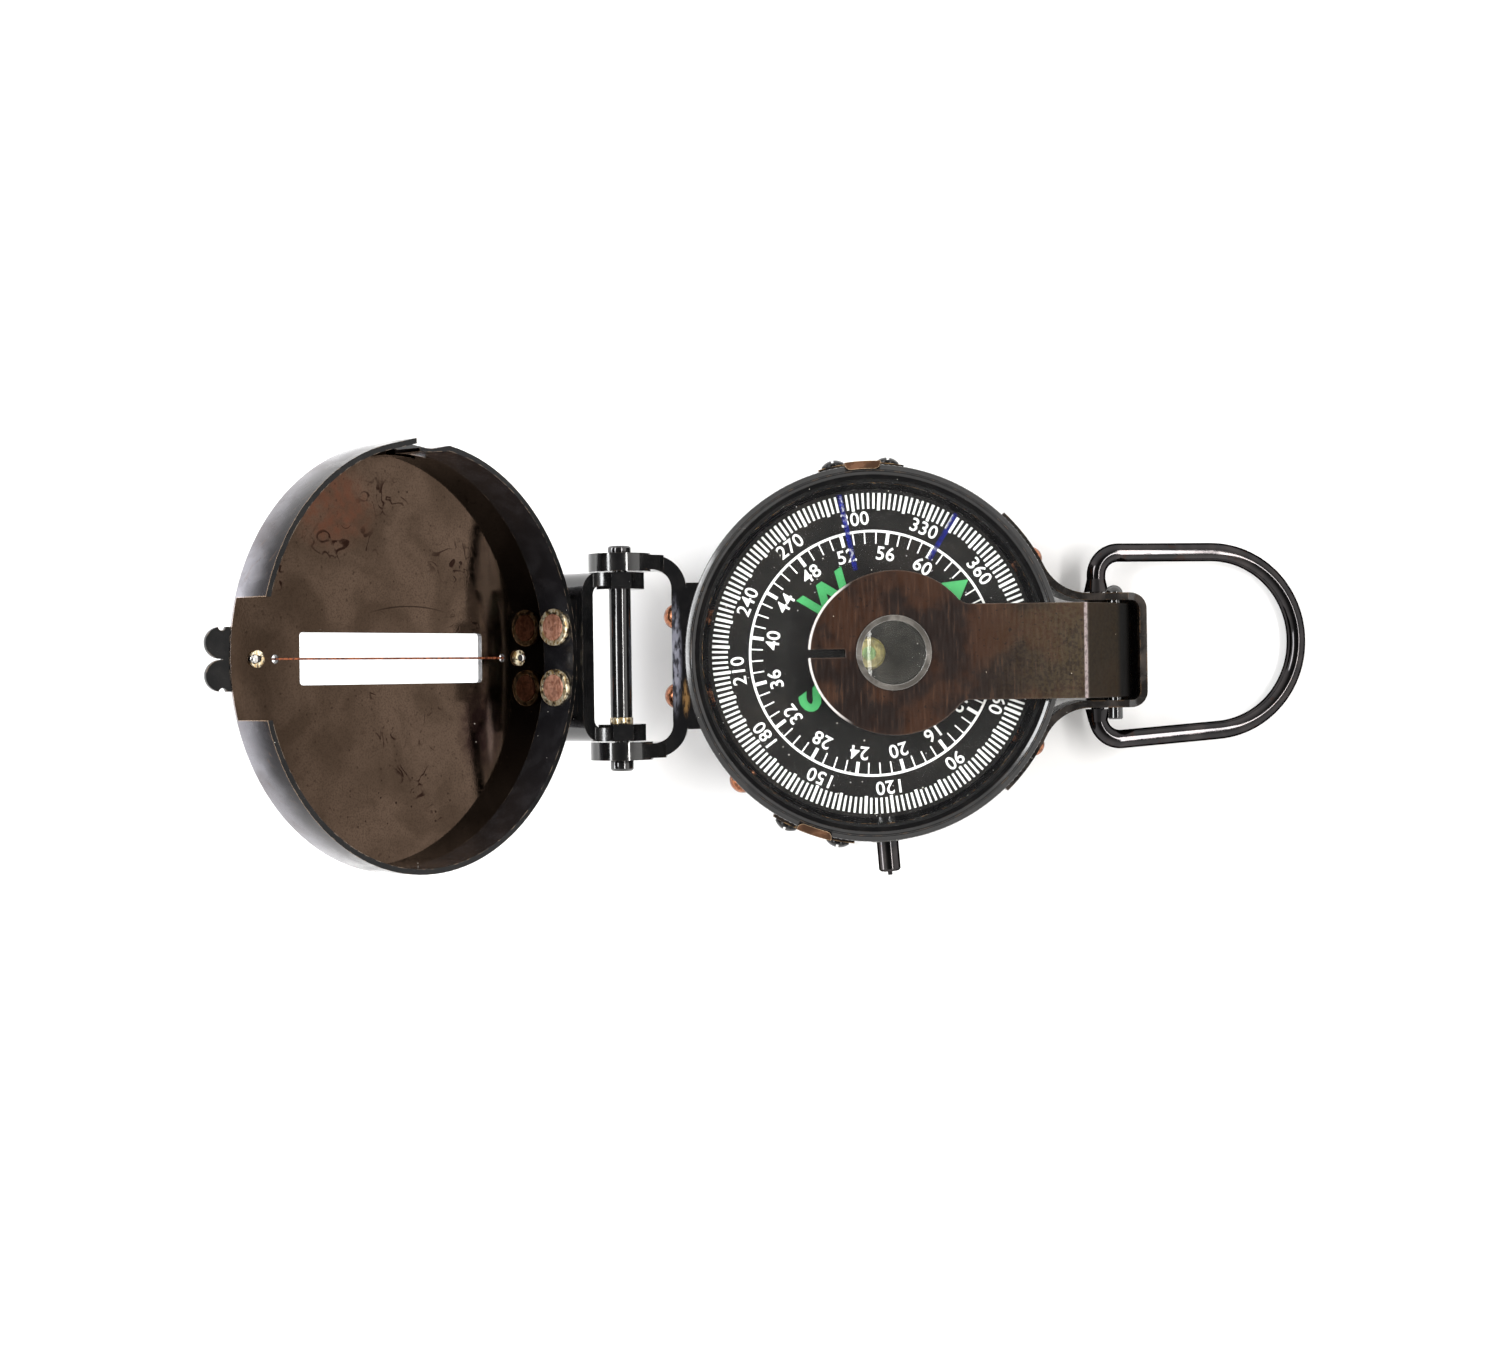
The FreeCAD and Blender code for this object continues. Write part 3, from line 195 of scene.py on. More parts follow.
class Surface:
    """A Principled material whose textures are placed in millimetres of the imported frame."""

    def __init__(self, name, **values):
        self.material = bpy.data.materials.new(name)
        self.material.use_nodes = True
        self.tree = self.material.node_tree
        self.shader = self.tree.nodes["Principled BSDF"]
        for socket, value in values.items():
            self.shader.inputs[socket.replace("_", " ")].default_value = value
        place = self.add("ShaderNodeTexCoord").outputs["Object"]
        self.mm = self.vector("SCALE", place, scale=1 / MM)

    def add(self, kind, **settings):
        node = self.tree.nodes.new(kind)
        for name, value in settings.items():
            setattr(node, name, value)
        return node

    def feed(self, socket, value):
        if isinstance(value, bpy.types.NodeSocket):
            self.tree.links.new(value, socket)
        else:
            socket.default_value = value

    def vector(self, operation, first, second=None, scale=None):
        node = self.add("ShaderNodeVectorMath", operation=operation)
        self.feed(node.inputs[0], first)
        if second is not None:
            self.feed(node.inputs[1], second)
        if scale is not None:
            node.inputs["Scale"].default_value = scale
        return node.outputs["Value"] if operation in ("DOT_PRODUCT", "LENGTH") else node.outputs[0]

    def math(self, operation, first, second=0.0):
        node = self.add("ShaderNodeMath", operation=operation)
        self.feed(node.inputs[0], first)
        self.feed(node.inputs[1], second)
        return node.outputs[0]

    def noise(self, scale, detail=4.0, stretch=None, distortion=0.0, shift=0.0):
        """Noise with scale features per millimetre, squeezed along each axis by stretch."""
        place = self.mm if stretch is None else self.vector("MULTIPLY", self.mm, stretch)
        if shift:
            place = self.vector("ADD", place, (shift, shift * 0.7, shift * 1.3))
        node = self.add("ShaderNodeTexNoise")
        self.feed(node.inputs["Vector"], place)
        node.inputs["Scale"].default_value = scale
        node.inputs["Detail"].default_value = detail
        node.inputs["Distortion"].default_value = distortion
        return node.outputs["Fac"]

    def span(self, value, low, high, to_low=0.0, to_high=1.0):
        """Smooth step of value from low..high to to_low..to_high."""
        node = self.add("ShaderNodeMapRange", interpolation_type="SMOOTHSTEP")
        values = (value, low, high, to_low, to_high)
        for name, number in zip(("Value", "From Min", "From Max", "To Min", "To Max"), values):
            self.feed(node.inputs[name], number)
        return node.outputs["Result"]

    def blend(self, share, first, second):
        node = self.add("ShaderNodeMix", data_type="RGBA")
        self.feed(node.inputs["Factor"], share)
        self.feed(node.inputs[6], first)
        self.feed(node.inputs[7], second)
        return node.outputs[2]

    def specks(self, scale, size, share, shift=0.0):
        """Sparse round dots: scale cells per millimetre, dot size in cells, share of cells with a dot."""
        place = self.mm if not shift else self.vector("ADD", self.mm, (shift, -shift, shift))
        node = self.add("ShaderNodeTexVoronoi")
        self.feed(node.inputs["Vector"], place)
        node.inputs["Scale"].default_value = scale
        dot = self.span(node.outputs["Distance"], size * 0.6, size, 1.0, 0.0)
        red = self.add("ShaderNodeSeparateColor")
        self.feed(red.inputs[0], node.outputs["Color"])
        chosen = self.math("LESS_THAN", red.outputs[0], share)
        return self.math("MULTIPLY", dot, chosen)

    def spot(self, x, y, half_x, half_y):
        """1 in the middle of an ellipse seen from above, fading to 0 at its edge; sizes in millimetres."""
        shift = self.vector("SUBTRACT", self.mm, (x, y, 0))
        flat = self.vector("MULTIPLY", shift, (1 / half_x, 1 / half_y, 0))
        return self.span(self.vector("LENGTH", flat), 0.35, 1.0, 1.0, 0.0)

    def most(self, values):
        total = values[0]
        for value in values[1:]:
            total = self.math("MAXIMUM", total, value)
        return total

    def lid_depth(self):
        """How far up a point would be with the lid shut, in millimetres."""
        turn = lid_to_shut()
        along = self.vector("DOT_PRODUCT", self.mm, tuple(turn[2][:3]))
        return self.math("ADD", along, turn[2][3] / MM)

    def edges(self, width, low=0.02, high=0.25):
        """1 along edges and corners, within about width millimetres, and 0 on open faces."""
        rounded = self.add("ShaderNodeBevel", samples=4)
        rounded.inputs["Radius"].default_value = width * MM
        face = self.add("ShaderNodeNewGeometry").outputs["Normal"]
        along = self.vector("DOT_PRODUCT", rounded.outputs["Normal"], face)
        return self.span(self.math("SUBTRACT", 1.0, along), low, high)

    def bump(self, height, distance, strength=1.0):
        """Raises the surface by height times distance millimetres."""
        node = self.add("ShaderNodeBump")
        node.inputs["Strength"].default_value = strength
        node.inputs["Distance"].default_value = distance * MM
        self.feed(node.inputs["Height"], height)
        self.feed(self.shader.inputs["Normal"], node.outputs["Normal"])

    def colour(self, value):
        self.feed(self.shader.inputs["Base Color"], value)

    def rough(self, value):
        self.feed(self.shader.inputs["Roughness"], value)

    def metal(self, value):
        self.feed(self.shader.inputs["Metallic"], value)


# ---- materials -----------------------------------------------------------------------------------
def black_finish(name, dark, light, worn, gloss=(0.10, 0.2), wear=0.6, dust=0.04, edge=0.2,
                 specular=0.6, reach=(0.46, 0.64)):
    """Blackened brass: nearly black and glossy, rubbed through at the edges, scratched and dusty; a
    near-white edge colour also paints a highlight along the edges.
    """
    s = Surface(name, Specular_IOR_Level=specular)
    cloud = s.noise(0.35, 5, distortion=0.4)
    grain = s.noise(3.0, 5, shift=7)
    rub = s.noise(0.8, 6, shift=19)
    scratch = s.noise(2.2, 2, stretch=(0.15, 2.4, 1.0), shift=3)
    dots = s.specks(1.3, 0.10, dust)
    base = s.blend(s.span(cloud, 0.42, 0.7), dark, light)
    # rubbed edges; where the edge colour is near white, also a painted highlight
    rubbed = s.math("MULTIPLY", s.edges(edge), s.span(rub, *reach, 0.0, wear))
    base = s.blend(rubbed, base, worn)
    s.colour(s.blend(dots, base, srgb(190, 188, 180)))
    s.metal(s.math("MULTIPLY", rubbed, 0.5))
    polish = s.span(cloud, 0.3, 0.7, *gloss)
    s.rough(s.math("ADD", polish, s.span(scratch, 0.62, 0.75, 0.0, 0.1)))
    s.bump(s.math("ADD", grain, s.math("MULTIPLY", scratch, 0.8)), 0.003)
    return s.material


def hinge_black():
    """The case's hinge fork: glossy black, with a painted lilac highlight on the web's top and, at one
    place, rubbed to brass.
    """
    s = Surface("front_hinge_black", Specular_IOR_Level=0.8)
    cloud = s.noise(0.5, 6, distortion=0.4)
    grain = s.noise(1.4, 6, stretch=(1.8, 0.5, 1.0), shift=7)
    base = s.blend(s.span(cloud, 0.42, 0.7), *BLACK)
    # painted highlight: a lilac patch on the web's top stands in for the key lamp's reflection
    web_painted_highlight = s.math("MULTIPLY", s.spot(*HINGE_PAINTED_HIGHLIGHT), s.span(grain, 0.36, 0.6, 0.1, 0.85))
    base = s.blend(web_painted_highlight, base, srgb(156, 156, 170))
    brass = s.math("MULTIPLY", s.spot(*HINGE_BRASS), s.span(grain, 0.4, 0.52, 0.2, 1.0))
    base = s.blend(brass, base, srgb(140, 106, 64))
    rub = s.noise(0.8, 6, shift=19)
    rubbed = s.math("MULTIPLY", s.edges(0.25), s.span(rub, 0.46, 0.64, 0.0, 0.2))
    s.colour(s.blend(rubbed, base, srgb(150, 120, 90)))
    s.rough(s.math("ADD", s.span(cloud, 0.3, 0.7, 0.07, 0.14), s.math("MULTIPLY", web_painted_highlight, 0.2)))
    s.bump(grain, 0.006)
    return s.material


def black_nickel(name):
    """Bright black nickel plating, dark except where it mirrors a lamp, with a few brown patches."""
    s = Surface(name, Metallic=1.0, Specular_Tint=(0.08, 0.08, 0.08, 1.0))
    cloud = s.noise(0.3, 5, distortion=0.4)
    scratch = s.noise(1.8, 3, stretch=(0.4, 0.4, 2.0), shift=4)
    base = s.blend(s.span(cloud, 0.4, 0.7), srgb(50, 49, 50), srgb(62, 59, 59))
    brown = s.span(s.noise(0.6, 6, shift=12), 0.62, 0.72, 0.0, 0.4)
    s.colour(s.blend(brown, base, srgb(60, 38, 28)))
    s.rough(s.math("ADD", s.span(cloud, 0.3, 0.7, 0.05, 0.1), s.span(scratch, 0.6, 0.75, 0.0, 0.08)))
    s.bump(scratch, 0.003)
    return s.material


def lid_outside():
    """Outside of the lid, with painted reflection: dark along its rim and silvery, paler towards the back;
    brown streaks and rubbed edges.
    """
    s = Surface("lid_outer_grey", Metallic=1.0)
    cloud = s.noise(0.3, 5, distortion=0.5)
    streak = s.noise(0.9, 5, stretch=(0.5, 0.5, 2.2), shift=9)
    # painted reflection: dark at the rim to silvery at the back, in place of the glancing reflection
    back = s.span(s.math("ADD", s.lid_depth(), s.math("MULTIPLY", cloud, 3.0)), *RIM_SHADE)
    stain = s.span(s.noise(0.12, 9, distortion=0.3, shift=33), 0.36, 0.66)
    silver = s.blend(stain, srgb(134, 133, 139), srgb(104, 100, 103))
    base = s.blend(back, srgb(30, 28, 30), silver)
    base = s.blend(s.span(streak, 0.58, 0.78, 0.0, 0.5), base, srgb(90, 70, 56))
    rubbed = s.math("MULTIPLY", s.edges(0.25), 0.5)
    s.colour(s.blend(rubbed, base, srgb(190, 160, 130)))
    s.rough(s.span(cloud, 0.3, 0.7, 0.18, 0.34))
    s.bump(streak, 0.004)
    return s.material


def lid_bronze():
    """The lid's inner face: satin bronze with rust marks, pits, a red patch, a smudge and scratches."""
    s = Surface("lid_bronze")
    broad = s.noise(0.1, 5, distortion=0.8)
    mottled = s.noise(0.7, 7, shift=11)
    fine = s.noise(4.0, 3, shift=5)
    base = s.blend(s.span(broad, 0.36, 0.66), BRONZE_DARK, BRONZE_LIGHT)
    base = s.blend(s.span(mottled, 0.52, 0.8, 0.0, 0.4), base, srgb(46, 34, 26))
    base = s.blend(s.span(fine, 0.4, 0.72, 0.0, 0.45), base, srgb(40, 31, 24))
    red = s.math("MULTIPLY", s.spot(*RED_PATCH), s.span(mottled, 0.3, 0.7, 0.15, 0.55))
    base = s.blend(red, base, srgb(88, 52, 38))
    squiggle = s.noise(0.26, 1, distortion=1.1, shift=23)
    line = s.span(s.math("ABSOLUTE", s.math("SUBTRACT", squiggle, 0.5)), 0.012, 0.032, 1.0, 0.0)
    patch = s.span(s.noise(0.13, 3, shift=41), 0.62, 0.68)
    mark = s.math("MULTIPLY", line, s.most([patch] + [s.spot(*place) for place in RUST_MARKS]))
    mark = s.math("MULTIPLY", mark, s.span(mottled, 0.34, 0.5))
    base = s.blend(s.math("MULTIPLY", mark, 0.95), base, srgb(26, 13, 8))
    pits = s.specks(1.1, 0.24, 0.3, shift=9)
    pitted = s.most([s.spot(*PITTED), s.span(patch, 0.0, 1.0, 0.45, 0.8)])
    base = s.blend(s.math("MULTIPLY", pits, pitted), base, srgb(28, 18, 12))
    smudge = s.math("MULTIPLY", s.spot(*SMUDGE), s.span(mottled, 0.3, 0.6, 0.5, 1.0))
    base = s.blend(smudge, base, srgb(36, 23, 21))
    streak = s.math("MULTIPLY", s.spot(*STREAK), s.span(fine, 0.3, 0.6, 0.2, 0.7))
    base = s.blend(streak, base, srgb(104, 88, 80))
    middle = s.vector("SUBTRACT", s.mm, (ARC_SCRATCH[0], ARC_SCRATCH[1], 0))
    away = s.vector("LENGTH", s.vector("MULTIPLY", middle, (1, 1, 0)))
    arc_line = s.span(s.math("ABSOLUTE", s.math("SUBTRACT", away, ARC_SCRATCH[2])), 0.05, 0.12, 1.0, 0.0)
    arc_mark = s.math("MULTIPLY", arc_line, s.spot(*ARC_SPOT))
    base = s.blend(s.math("MULTIPLY", arc_mark, 0.8), base, srgb(26, 17, 12))
    dots = s.specks(0.55, 0.05, 0.12, shift=2)
    s.colour(s.blend(dots, base, srgb(200, 196, 188)))
    s.metal(s.span(dots, 0.0, 1.0, 1.0, 0.0))
    hair = s.noise(1.6, 2, stretch=(0.3, 3.0, 0.3), shift=13)
    s.rough(s.math("ADD", s.span(mottled, 0.3, 0.8, 0.03, 0.08), s.span(hair, 0.6, 0.75, 0.0, 0.06)))
    relief = s.math("ADD", s.math("MULTIPLY", fine, 0.3), s.math("MULTIPLY", mark, -1.2))
    s.bump(relief, 0.003)
    return s.material


def arm_lacquer():
    """Brown lacquer over brass: fine orange streaks across the arm and olive near the bend; painted shade
    darkens the slope and blackens the barrel, and painted highlights run along the bend and the head's left
    edge.
    """
    s = Surface("arm_lacquer", Coat_Roughness=0.2)
    streak = s.noise(2.4, 5, stretch=(1.0, 0.1, 1.0))
    cloud = s.noise(0.14, 4, shift=8)
    fleck = s.noise(2.2, 5, shift=17)
    base = s.blend(s.span(cloud, 0.40, 0.60), srgb(23, 13, 9), srgb(47, 27, 15))
    base = s.blend(s.span(streak, 0.54, 0.8, 0.0, 0.42), base, srgb(82, 50, 24))
    along = s.add("ShaderNodeSeparateXYZ")
    s.feed(along.inputs[0], s.mm)
    root = s.span(along.outputs["X"], *OLIVE_X)
    olive = s.math("MULTIPLY", root, s.span(fleck, 0.36, 0.62, 0.25, 0.8))
    base = s.blend(olive, base, srgb(58, 48, 32))
    dark = s.span(s.noise(1.6, 6, shift=29), 0.60, 0.7, 0.0, 0.7)
    base = s.blend(dark, base, srgb(16, 10, 7))
    # painted shade: the slope past the bend is darkened as if in shadow
    base = s.blend(s.span(along.outputs["X"], *SLOPE_X, 0.0, 0.75), base, srgb(24, 18, 11))
    # painted shade: the barrel's right half is painted near black, for the dark it mirrors
    barrel = s.span(along.outputs["X"], *BARREL_PAINTED_SHADE_X)
    base = s.blend(s.math("MULTIPLY", barrel, 0.95), base, srgb(9, 9, 9))
    rub = s.noise(0.9, 5, shift=4)
    rubbed = s.math("MULTIPLY", s.edges(0.3), s.span(rub, 0.3, 0.5, 0.0, 0.8))
    base = s.blend(rubbed, base, srgb(150, 128, 112))
    s.metal(s.math("MULTIPLY", rubbed, 0.95))
    # painted highlight: a pale lilac line along the bend's rounded edge
    from_bend = s.math("ABSOLUTE", s.math("SUBTRACT", along.outputs["X"], BEND_X))
    near_bend = s.span(from_bend, 0.12, 0.38, 1.0, 0.0)
    bend = s.math("MULTIPLY", near_bend, s.span(fleck, 0.36, 0.56, 0.35, 0.85))
    base = s.blend(bend, base, srgb(150, 136, 136))
    # painted highlight: a pale crescent along the head's left edge
    from_head = s.vector("SUBTRACT", s.mm, (HEAD_PAINTED_HIGHLIGHT[0], 0, 0))
    oval = s.vector("MULTIPLY", from_head, (1 / HEAD_PAINTED_HIGHLIGHT[1], 1 / HEAD_PAINTED_HIGHLIGHT[2], 0))
    across = s.vector("LENGTH", oval)
    left = s.span(along.outputs["X"], *HEAD_PAINTED_HIGHLIGHT_X, 1.0, 0.0)
    head_painted_highlight = s.math("MULTIPLY", s.span(across, 0.968, 0.98), left)
    head_painted_highlight = s.math("MULTIPLY", head_painted_highlight, s.span(fleck, 0.2, 0.5, 0.6, 1.0))
    base = s.blend(head_painted_highlight, base, srgb(205, 200, 196))
    dots = s.specks(0.8, 0.06, 0.08, shift=6)
    s.colour(s.blend(dots, base, srgb(215, 200, 180)))
    slope = s.span(along.outputs["X"], *SLOPE_X)
    coat = s.math("MULTIPLY", s.math("SUBTRACT", 1.0, slope), 0.15)
    s.feed(s.shader.inputs["Coat Weight"], coat)
    mirror = s.math("SUBTRACT", 0.22, s.math("MULTIPLY", slope, 0.18))
    s.feed(s.shader.inputs["Specular IOR Level"], mirror)
    dull = s.span(streak, 0.3, 0.8, 0.3, 0.5)
    s.rough(s.math("MULTIPLY", dull, s.math("SUBTRACT", 1.0, s.math("MULTIPLY", rubbed, 0.5))))
    s.bump(s.math("ADD", streak, s.math("MULTIPLY", dark, -0.6)), 0.005)
    return s.material


def bare_metal(name, low, high, dirt, gloss=(0.18, 0.4), dirt_share=0.5, metallic=1.0):
    """Bare metal with brushed grain and patches of dirt; a low metallic share means a dull skin on it."""
    s = Surface(name, Metallic=metallic)
    grain = s.noise(2.2, 5, stretch=(1.0, 0.4, 1.6), distortion=0.5)
    patch = s.noise(1.4, 6, shift=15)
    base = s.blend(s.span(grain, 0.38, 0.62), low, high)
    s.colour(s.blend(s.span(patch, 0.48, 0.6, 0.0, dirt_share), base, dirt))
    s.rough(s.span(grain, 0.3, 0.75, *gloss))
    s.bump(grain, 0.01)
    return s.material


def card_black():
    """Matt black dial stock, slightly chalky, with dust."""
    s = Surface("card_black", Specular_IOR_Level=0.1)
    grain = s.noise(3.5, 6)
    broad = s.noise(0.12, 4, shift=6)
    base = s.blend(s.span(grain, 0.3, 0.7), srgb(11, 10, 9), srgb(20, 18, 16))
    base = s.blend(s.span(broad, 0.45, 0.7, 0.0, 0.5), base, srgb(28, 23, 19))
    dots = s.math("MAXIMUM", s.specks(1.1, 0.11, 0.09), s.specks(0.45, 0.06, 0.2, shift=4))
    s.colour(s.blend(dots, base, srgb(205, 200, 190)))
    s.rough(s.span(grain, 0.3, 0.7, 0.55, 0.8))
    s.bump(grain, 0.01)
    return s.material


def ink(name, bright, thin):
    """Printed ink that covers unevenly."""
    s = Surface(name, Specular_IOR_Level=0.3)
    cover = s.noise(2.6, 5)
    s.colour(s.blend(s.span(cover, 0.56, 0.78, 0.0, 0.7), bright, thin))
    s.rough(s.span(cover, 0.3, 0.7, 0.45, 0.65))
    s.bump(cover, 0.006)
    return s.material


def clear_glass(name, tint, film, film_share, specular=0.5):
    """Glass that lets lamps through, with a film of dust and smears."""
    s = Surface(name, Base_Color=tint, IOR=1.5, Transmission_Weight=1.0, Specular_IOR_Level=specular)
    smear = s.noise(0.25, 5, distortion=1.0)
    dots = s.specks(0.8, 0.085, 0.16)
    s.rough(s.math("ADD", s.span(smear, 0.4, 0.75, 0.0, 0.05), s.math("MULTIPLY", dots, 0.3)))
    dust = s.add("ShaderNodeBsdfDiffuse")
    dust.inputs["Color"].default_value = film
    veil = s.add("ShaderNodeMixShader")
    covered = s.span(smear, 0.3, 0.8, 0.0, film_share)
    s.feed(veil.inputs[0], s.math("MAXIMUM", s.math("MULTIPLY", dots, 0.6), covered))
    s.feed(veil.inputs[1], s.shader.outputs[0])
    s.feed(veil.inputs[2], dust.outputs[0])
    lamp = s.add("ShaderNodeMixShader")
    s.feed(lamp.inputs[0], s.add("ShaderNodeLightPath").outputs["Is Shadow Ray"])
    s.feed(lamp.inputs[1], veil.outputs[0])
    s.feed(lamp.inputs[2], s.add("ShaderNodeBsdfTransparent").outputs[0])
    s.feed(s.tree.nodes["Material Output"].inputs["Surface"], lamp.outputs[0])
    return s.material


def index_ink():
    """Translucent blue line on the glass."""
    s = Surface("index_blue", Roughness=0.3)
    cover = s.noise(1.2, 4)
    s.colour(s.blend(s.span(cover, 0.35, 0.7), srgb(12, 16, 84), srgb(24, 34, 128)))
    s.feed(s.shader.inputs["Alpha"], s.span(cover, 0.35, 0.65, 0.35, 0.75))
    return s.material


def rubber():
    """Matt black rubber with a fine grain."""
    s = Surface("gasket_rubber")
    grain = s.noise(2.0, 4)
    s.colour(s.blend(grain, srgb(22, 22, 23), srgb(38, 37, 36)))
    s.rough(s.span(grain, 0.3, 0.7, 0.6, 0.85))
    s.bump(grain, 0.02)
    return s.material


BRASS_WORN = srgb(168, 128, 82)
BROWN_BLACK = (srgb(18, 14, 11), srgb(40, 31, 24))
mats = {
    "bezel": black_finish("bezel_black", srgb(16, 16, 17), srgb(26, 25, 25), srgb(120, 98, 76),
                          (0.12, 0.2), 0.5, 0.06),
    "bezel_bore": black_finish("bezel_bore_black", *BLACK, srgb(60, 50, 42), (0.5, 0.6), 0.2, 0.08,
                               specular=0.05),
    "case": black_finish("case_black", *BLACK, BRASS_WORN, (0.14, 0.3), 0.8, 0.05),
    "clip": black_finish("clip_black", *BROWN_BLACK, srgb(214, 170, 112), (0.14, 0.26), 1.0, 0.03, 0.3),
    "hinge": black_finish("hinge_black", *BLACK, srgb(150, 120, 90), (0.07, 0.14), 0.12, 0.03, 0.25, 0.8),
    "fork": hinge_black(),
    "wall": black_finish("lid_wall_black", srgb(24, 24, 27), srgb(38, 38, 41), srgb(150, 132, 112),
                         (0.08, 0.16), 0.6, 0.06),
    "outer": lid_outside(),
    "tab": black_finish("lid_tab_black", *BLACK, srgb(170, 150, 130), (0.14, 0.26), 0.7, 0.06,
                        specular=0.16),
    "solder": bare_metal("solder", srgb(150, 148, 146), srgb(226, 224, 220), srgb(80, 74, 66),
                         (0.12, 0.3), 0.4),
    "bracket": black_finish("bracket_brown", *BROWN_BLACK, srgb(104, 78, 52), (0.2, 0.36), 1.0, 0.06,
                            0.4, 0.4),
    "ring": black_nickel("ring_black_nickel"),
    "plunger": black_nickel("plunger_black_nickel"),
    # near-white edge colour: painted highlight along the tongue's rounded rim, over worn copper
    "tongue": black_finish("clip_tongue_brown", srgb(58, 40, 28), srgb(96, 66, 46), srgb(240, 208, 170),
                           (0.15, 0.3), 1.0, 0.0, 0.16, 0.4, (0.2, 0.35)),
    "bronze": lid_bronze(),
    "lacquer": arm_lacquer(),
    "copper": bare_metal("rivet_copper", srgb(128, 80, 56), srgb(172, 116, 86), srgb(60, 38, 26)),
    "rivet_face": bare_metal("rivet_face_copper", srgb(164, 112, 90), srgb(204, 152, 130),
                             srgb(112, 70, 52), (0.3, 0.5), 0.6, 0.35),
    "wire_copper": bare_metal("wire_copper", srgb(96, 46, 26), srgb(150, 82, 44), srgb(60, 26, 18),
                              (0.2, 0.4), 0.6, 0.6),
    "jewel": bare_metal("jewel_green", srgb(86, 112, 70), srgb(120, 150, 100), srgb(70, 70, 40),
                        (0.1, 0.2), 0.3, 0.0),
    "brass": bare_metal("worn_brass", srgb(176, 146, 96), srgb(244, 234, 206), srgb(50, 38, 26),
                        (0.1, 0.25), 0.9, 0.6),
    "clean_brass": bare_metal("movement_brass", srgb(205, 170, 96), srgb(235, 205, 140),
                              srgb(120, 92, 50), (0.2, 0.38)),
    "steel": bare_metal("spring_steel", srgb(150, 152, 156), srgb(196, 198, 202), srgb(90, 88, 86),
                        (0.2, 0.4)),
    # near-white edge colour: painted highlight round the rim's edges, over worn bright metal
    "rim": black_finish("lens_rim", srgb(70, 67, 63), srgb(104, 100, 95), srgb(246, 244, 240),
                        (0.12, 0.25), 1.0, 0.0, 0.12, 0.8, (0.2, 0.3)),
    "hub": bare_metal("hub_olive", srgb(100, 92, 50), srgb(138, 126, 74), srgb(60, 54, 34),
                      (0.35, 0.5), 0.4, 0.3),
    "card": card_black(),
    "white": ink("dial_white", srgb(225, 225, 222), srgb(140, 140, 138)),
    "green": ink("dial_green", srgb(58, 150, 84), srgb(42, 116, 64)),
    "glass": clear_glass("crystal_glass", (0.97, 0.985, 0.98, 1.0), srgb(150, 148, 145), 0.008),
    "lens": clear_glass("lens_glass", (0.97, 0.98, 0.95, 1.0), srgb(150, 146, 136), 0.05, 0.2),
    "index": index_ink(),
    "rubber": rubber(),
}


# ---- geometry helpers ----------------------------------------------------------------------------
def link(name, mesh, materials, body, stands_for=()):
    """Makes a mesh into a piece that rides on a CAD body."""
    piece = bpy.data.objects.new(name, mesh)
    bpy.context.scene.collection.objects.link(piece)
    for material in materials:
        mesh.materials.append(material)
    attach(piece, body)
    if stands_for:
        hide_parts(*stands_for)
    return piece


def smooth(mesh, degrees=34):
    """Smooth shading, with edges sharper than the given angle kept crisp."""
    for polygon in mesh.polygons:
        polygon.use_smooth = True
    mesh.set_sharp_from_angle(angle=math.radians(degrees))


def mesh_from(bm, name):
    """Turns an edit mesh into mesh data with its faces pointing out."""
    bmesh.ops.recalc_face_normals(bm, faces=bm.faces)
    mesh = bpy.data.meshes.new(name)
    bm.to_mesh(mesh)
    bm.free()
    return mesh


def refined(node, material, width=0.15, segments=2):
    """A CAD node again with its edges rounded over by width millimetres."""
    bm = bmesh.new()
    bm.from_mesh(nodes[node].data)
    bmesh.ops.remove_doubles(bm, verts=bm.verts, dist=1e-7)
    bmesh.ops.dissolve_limit(bm, angle_limit=math.radians(0.4), verts=bm.verts, edges=bm.edges)
    sharp = [e for e in bm.edges if len(e.link_faces) == 2 and e.calc_face_angle(0) > math.radians(28)]
    bmesh.ops.bevel(bm, geom=sharp, offset=width * MM, offset_type="OFFSET", segments=segments, profile=0.5,
                    affect="EDGES", clamp_overlap=True)
    mesh = mesh_from(bm, node + "_detail")
    smooth(mesh)
    body = nodes[node]["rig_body"]
    piece = link(node + "_detail", mesh, [material], body, [node])
    weighted = piece.modifiers.new("weighted_normals", "WEIGHTED_NORMAL")
    weighted.keep_sharp = True
    weighted.weight = 100
    return piece


def keep(node, material):
    """Shows a CAD node as it is, with a finished material."""
    nodes[node].data.materials.clear()
    nodes[node].data.materials.append(material)


def lathe(profile, steps, ripple=None):
    """Mesh data of a closed ring about Z.

    profile holds (radius, z, share), and share of ripple(step) is taken off each radius.
    """
    vertices, faces = [], []
    count = len(profile)
    for step in range(steps):
        angle = 2 * math.pi * step / steps
        cut = ripple(step) if ripple else 0.0
        for radius, z, share in profile:
            r = radius - cut * share
            vertices.append((r * math.cos(angle), r * math.sin(angle), z))
        ahead = (step + 1) % steps
        for k in range(count):
            after = (k + 1) % count
            faces.append((step * count + k, ahead * count + k, ahead * count + after, step * count + after))
    return vertices, faces


def arc(cx, cz, radius, start, end, steps, share=0.0):
    """Points of a profile round a corner, angles in degrees in the radius-height plane."""
    points = []
    for k in range(steps + 1):
        angle = math.radians(start + (end - start) * k / steps)
        points.append((cx + radius * math.cos(angle), cz + radius * math.sin(angle), share))
    return points


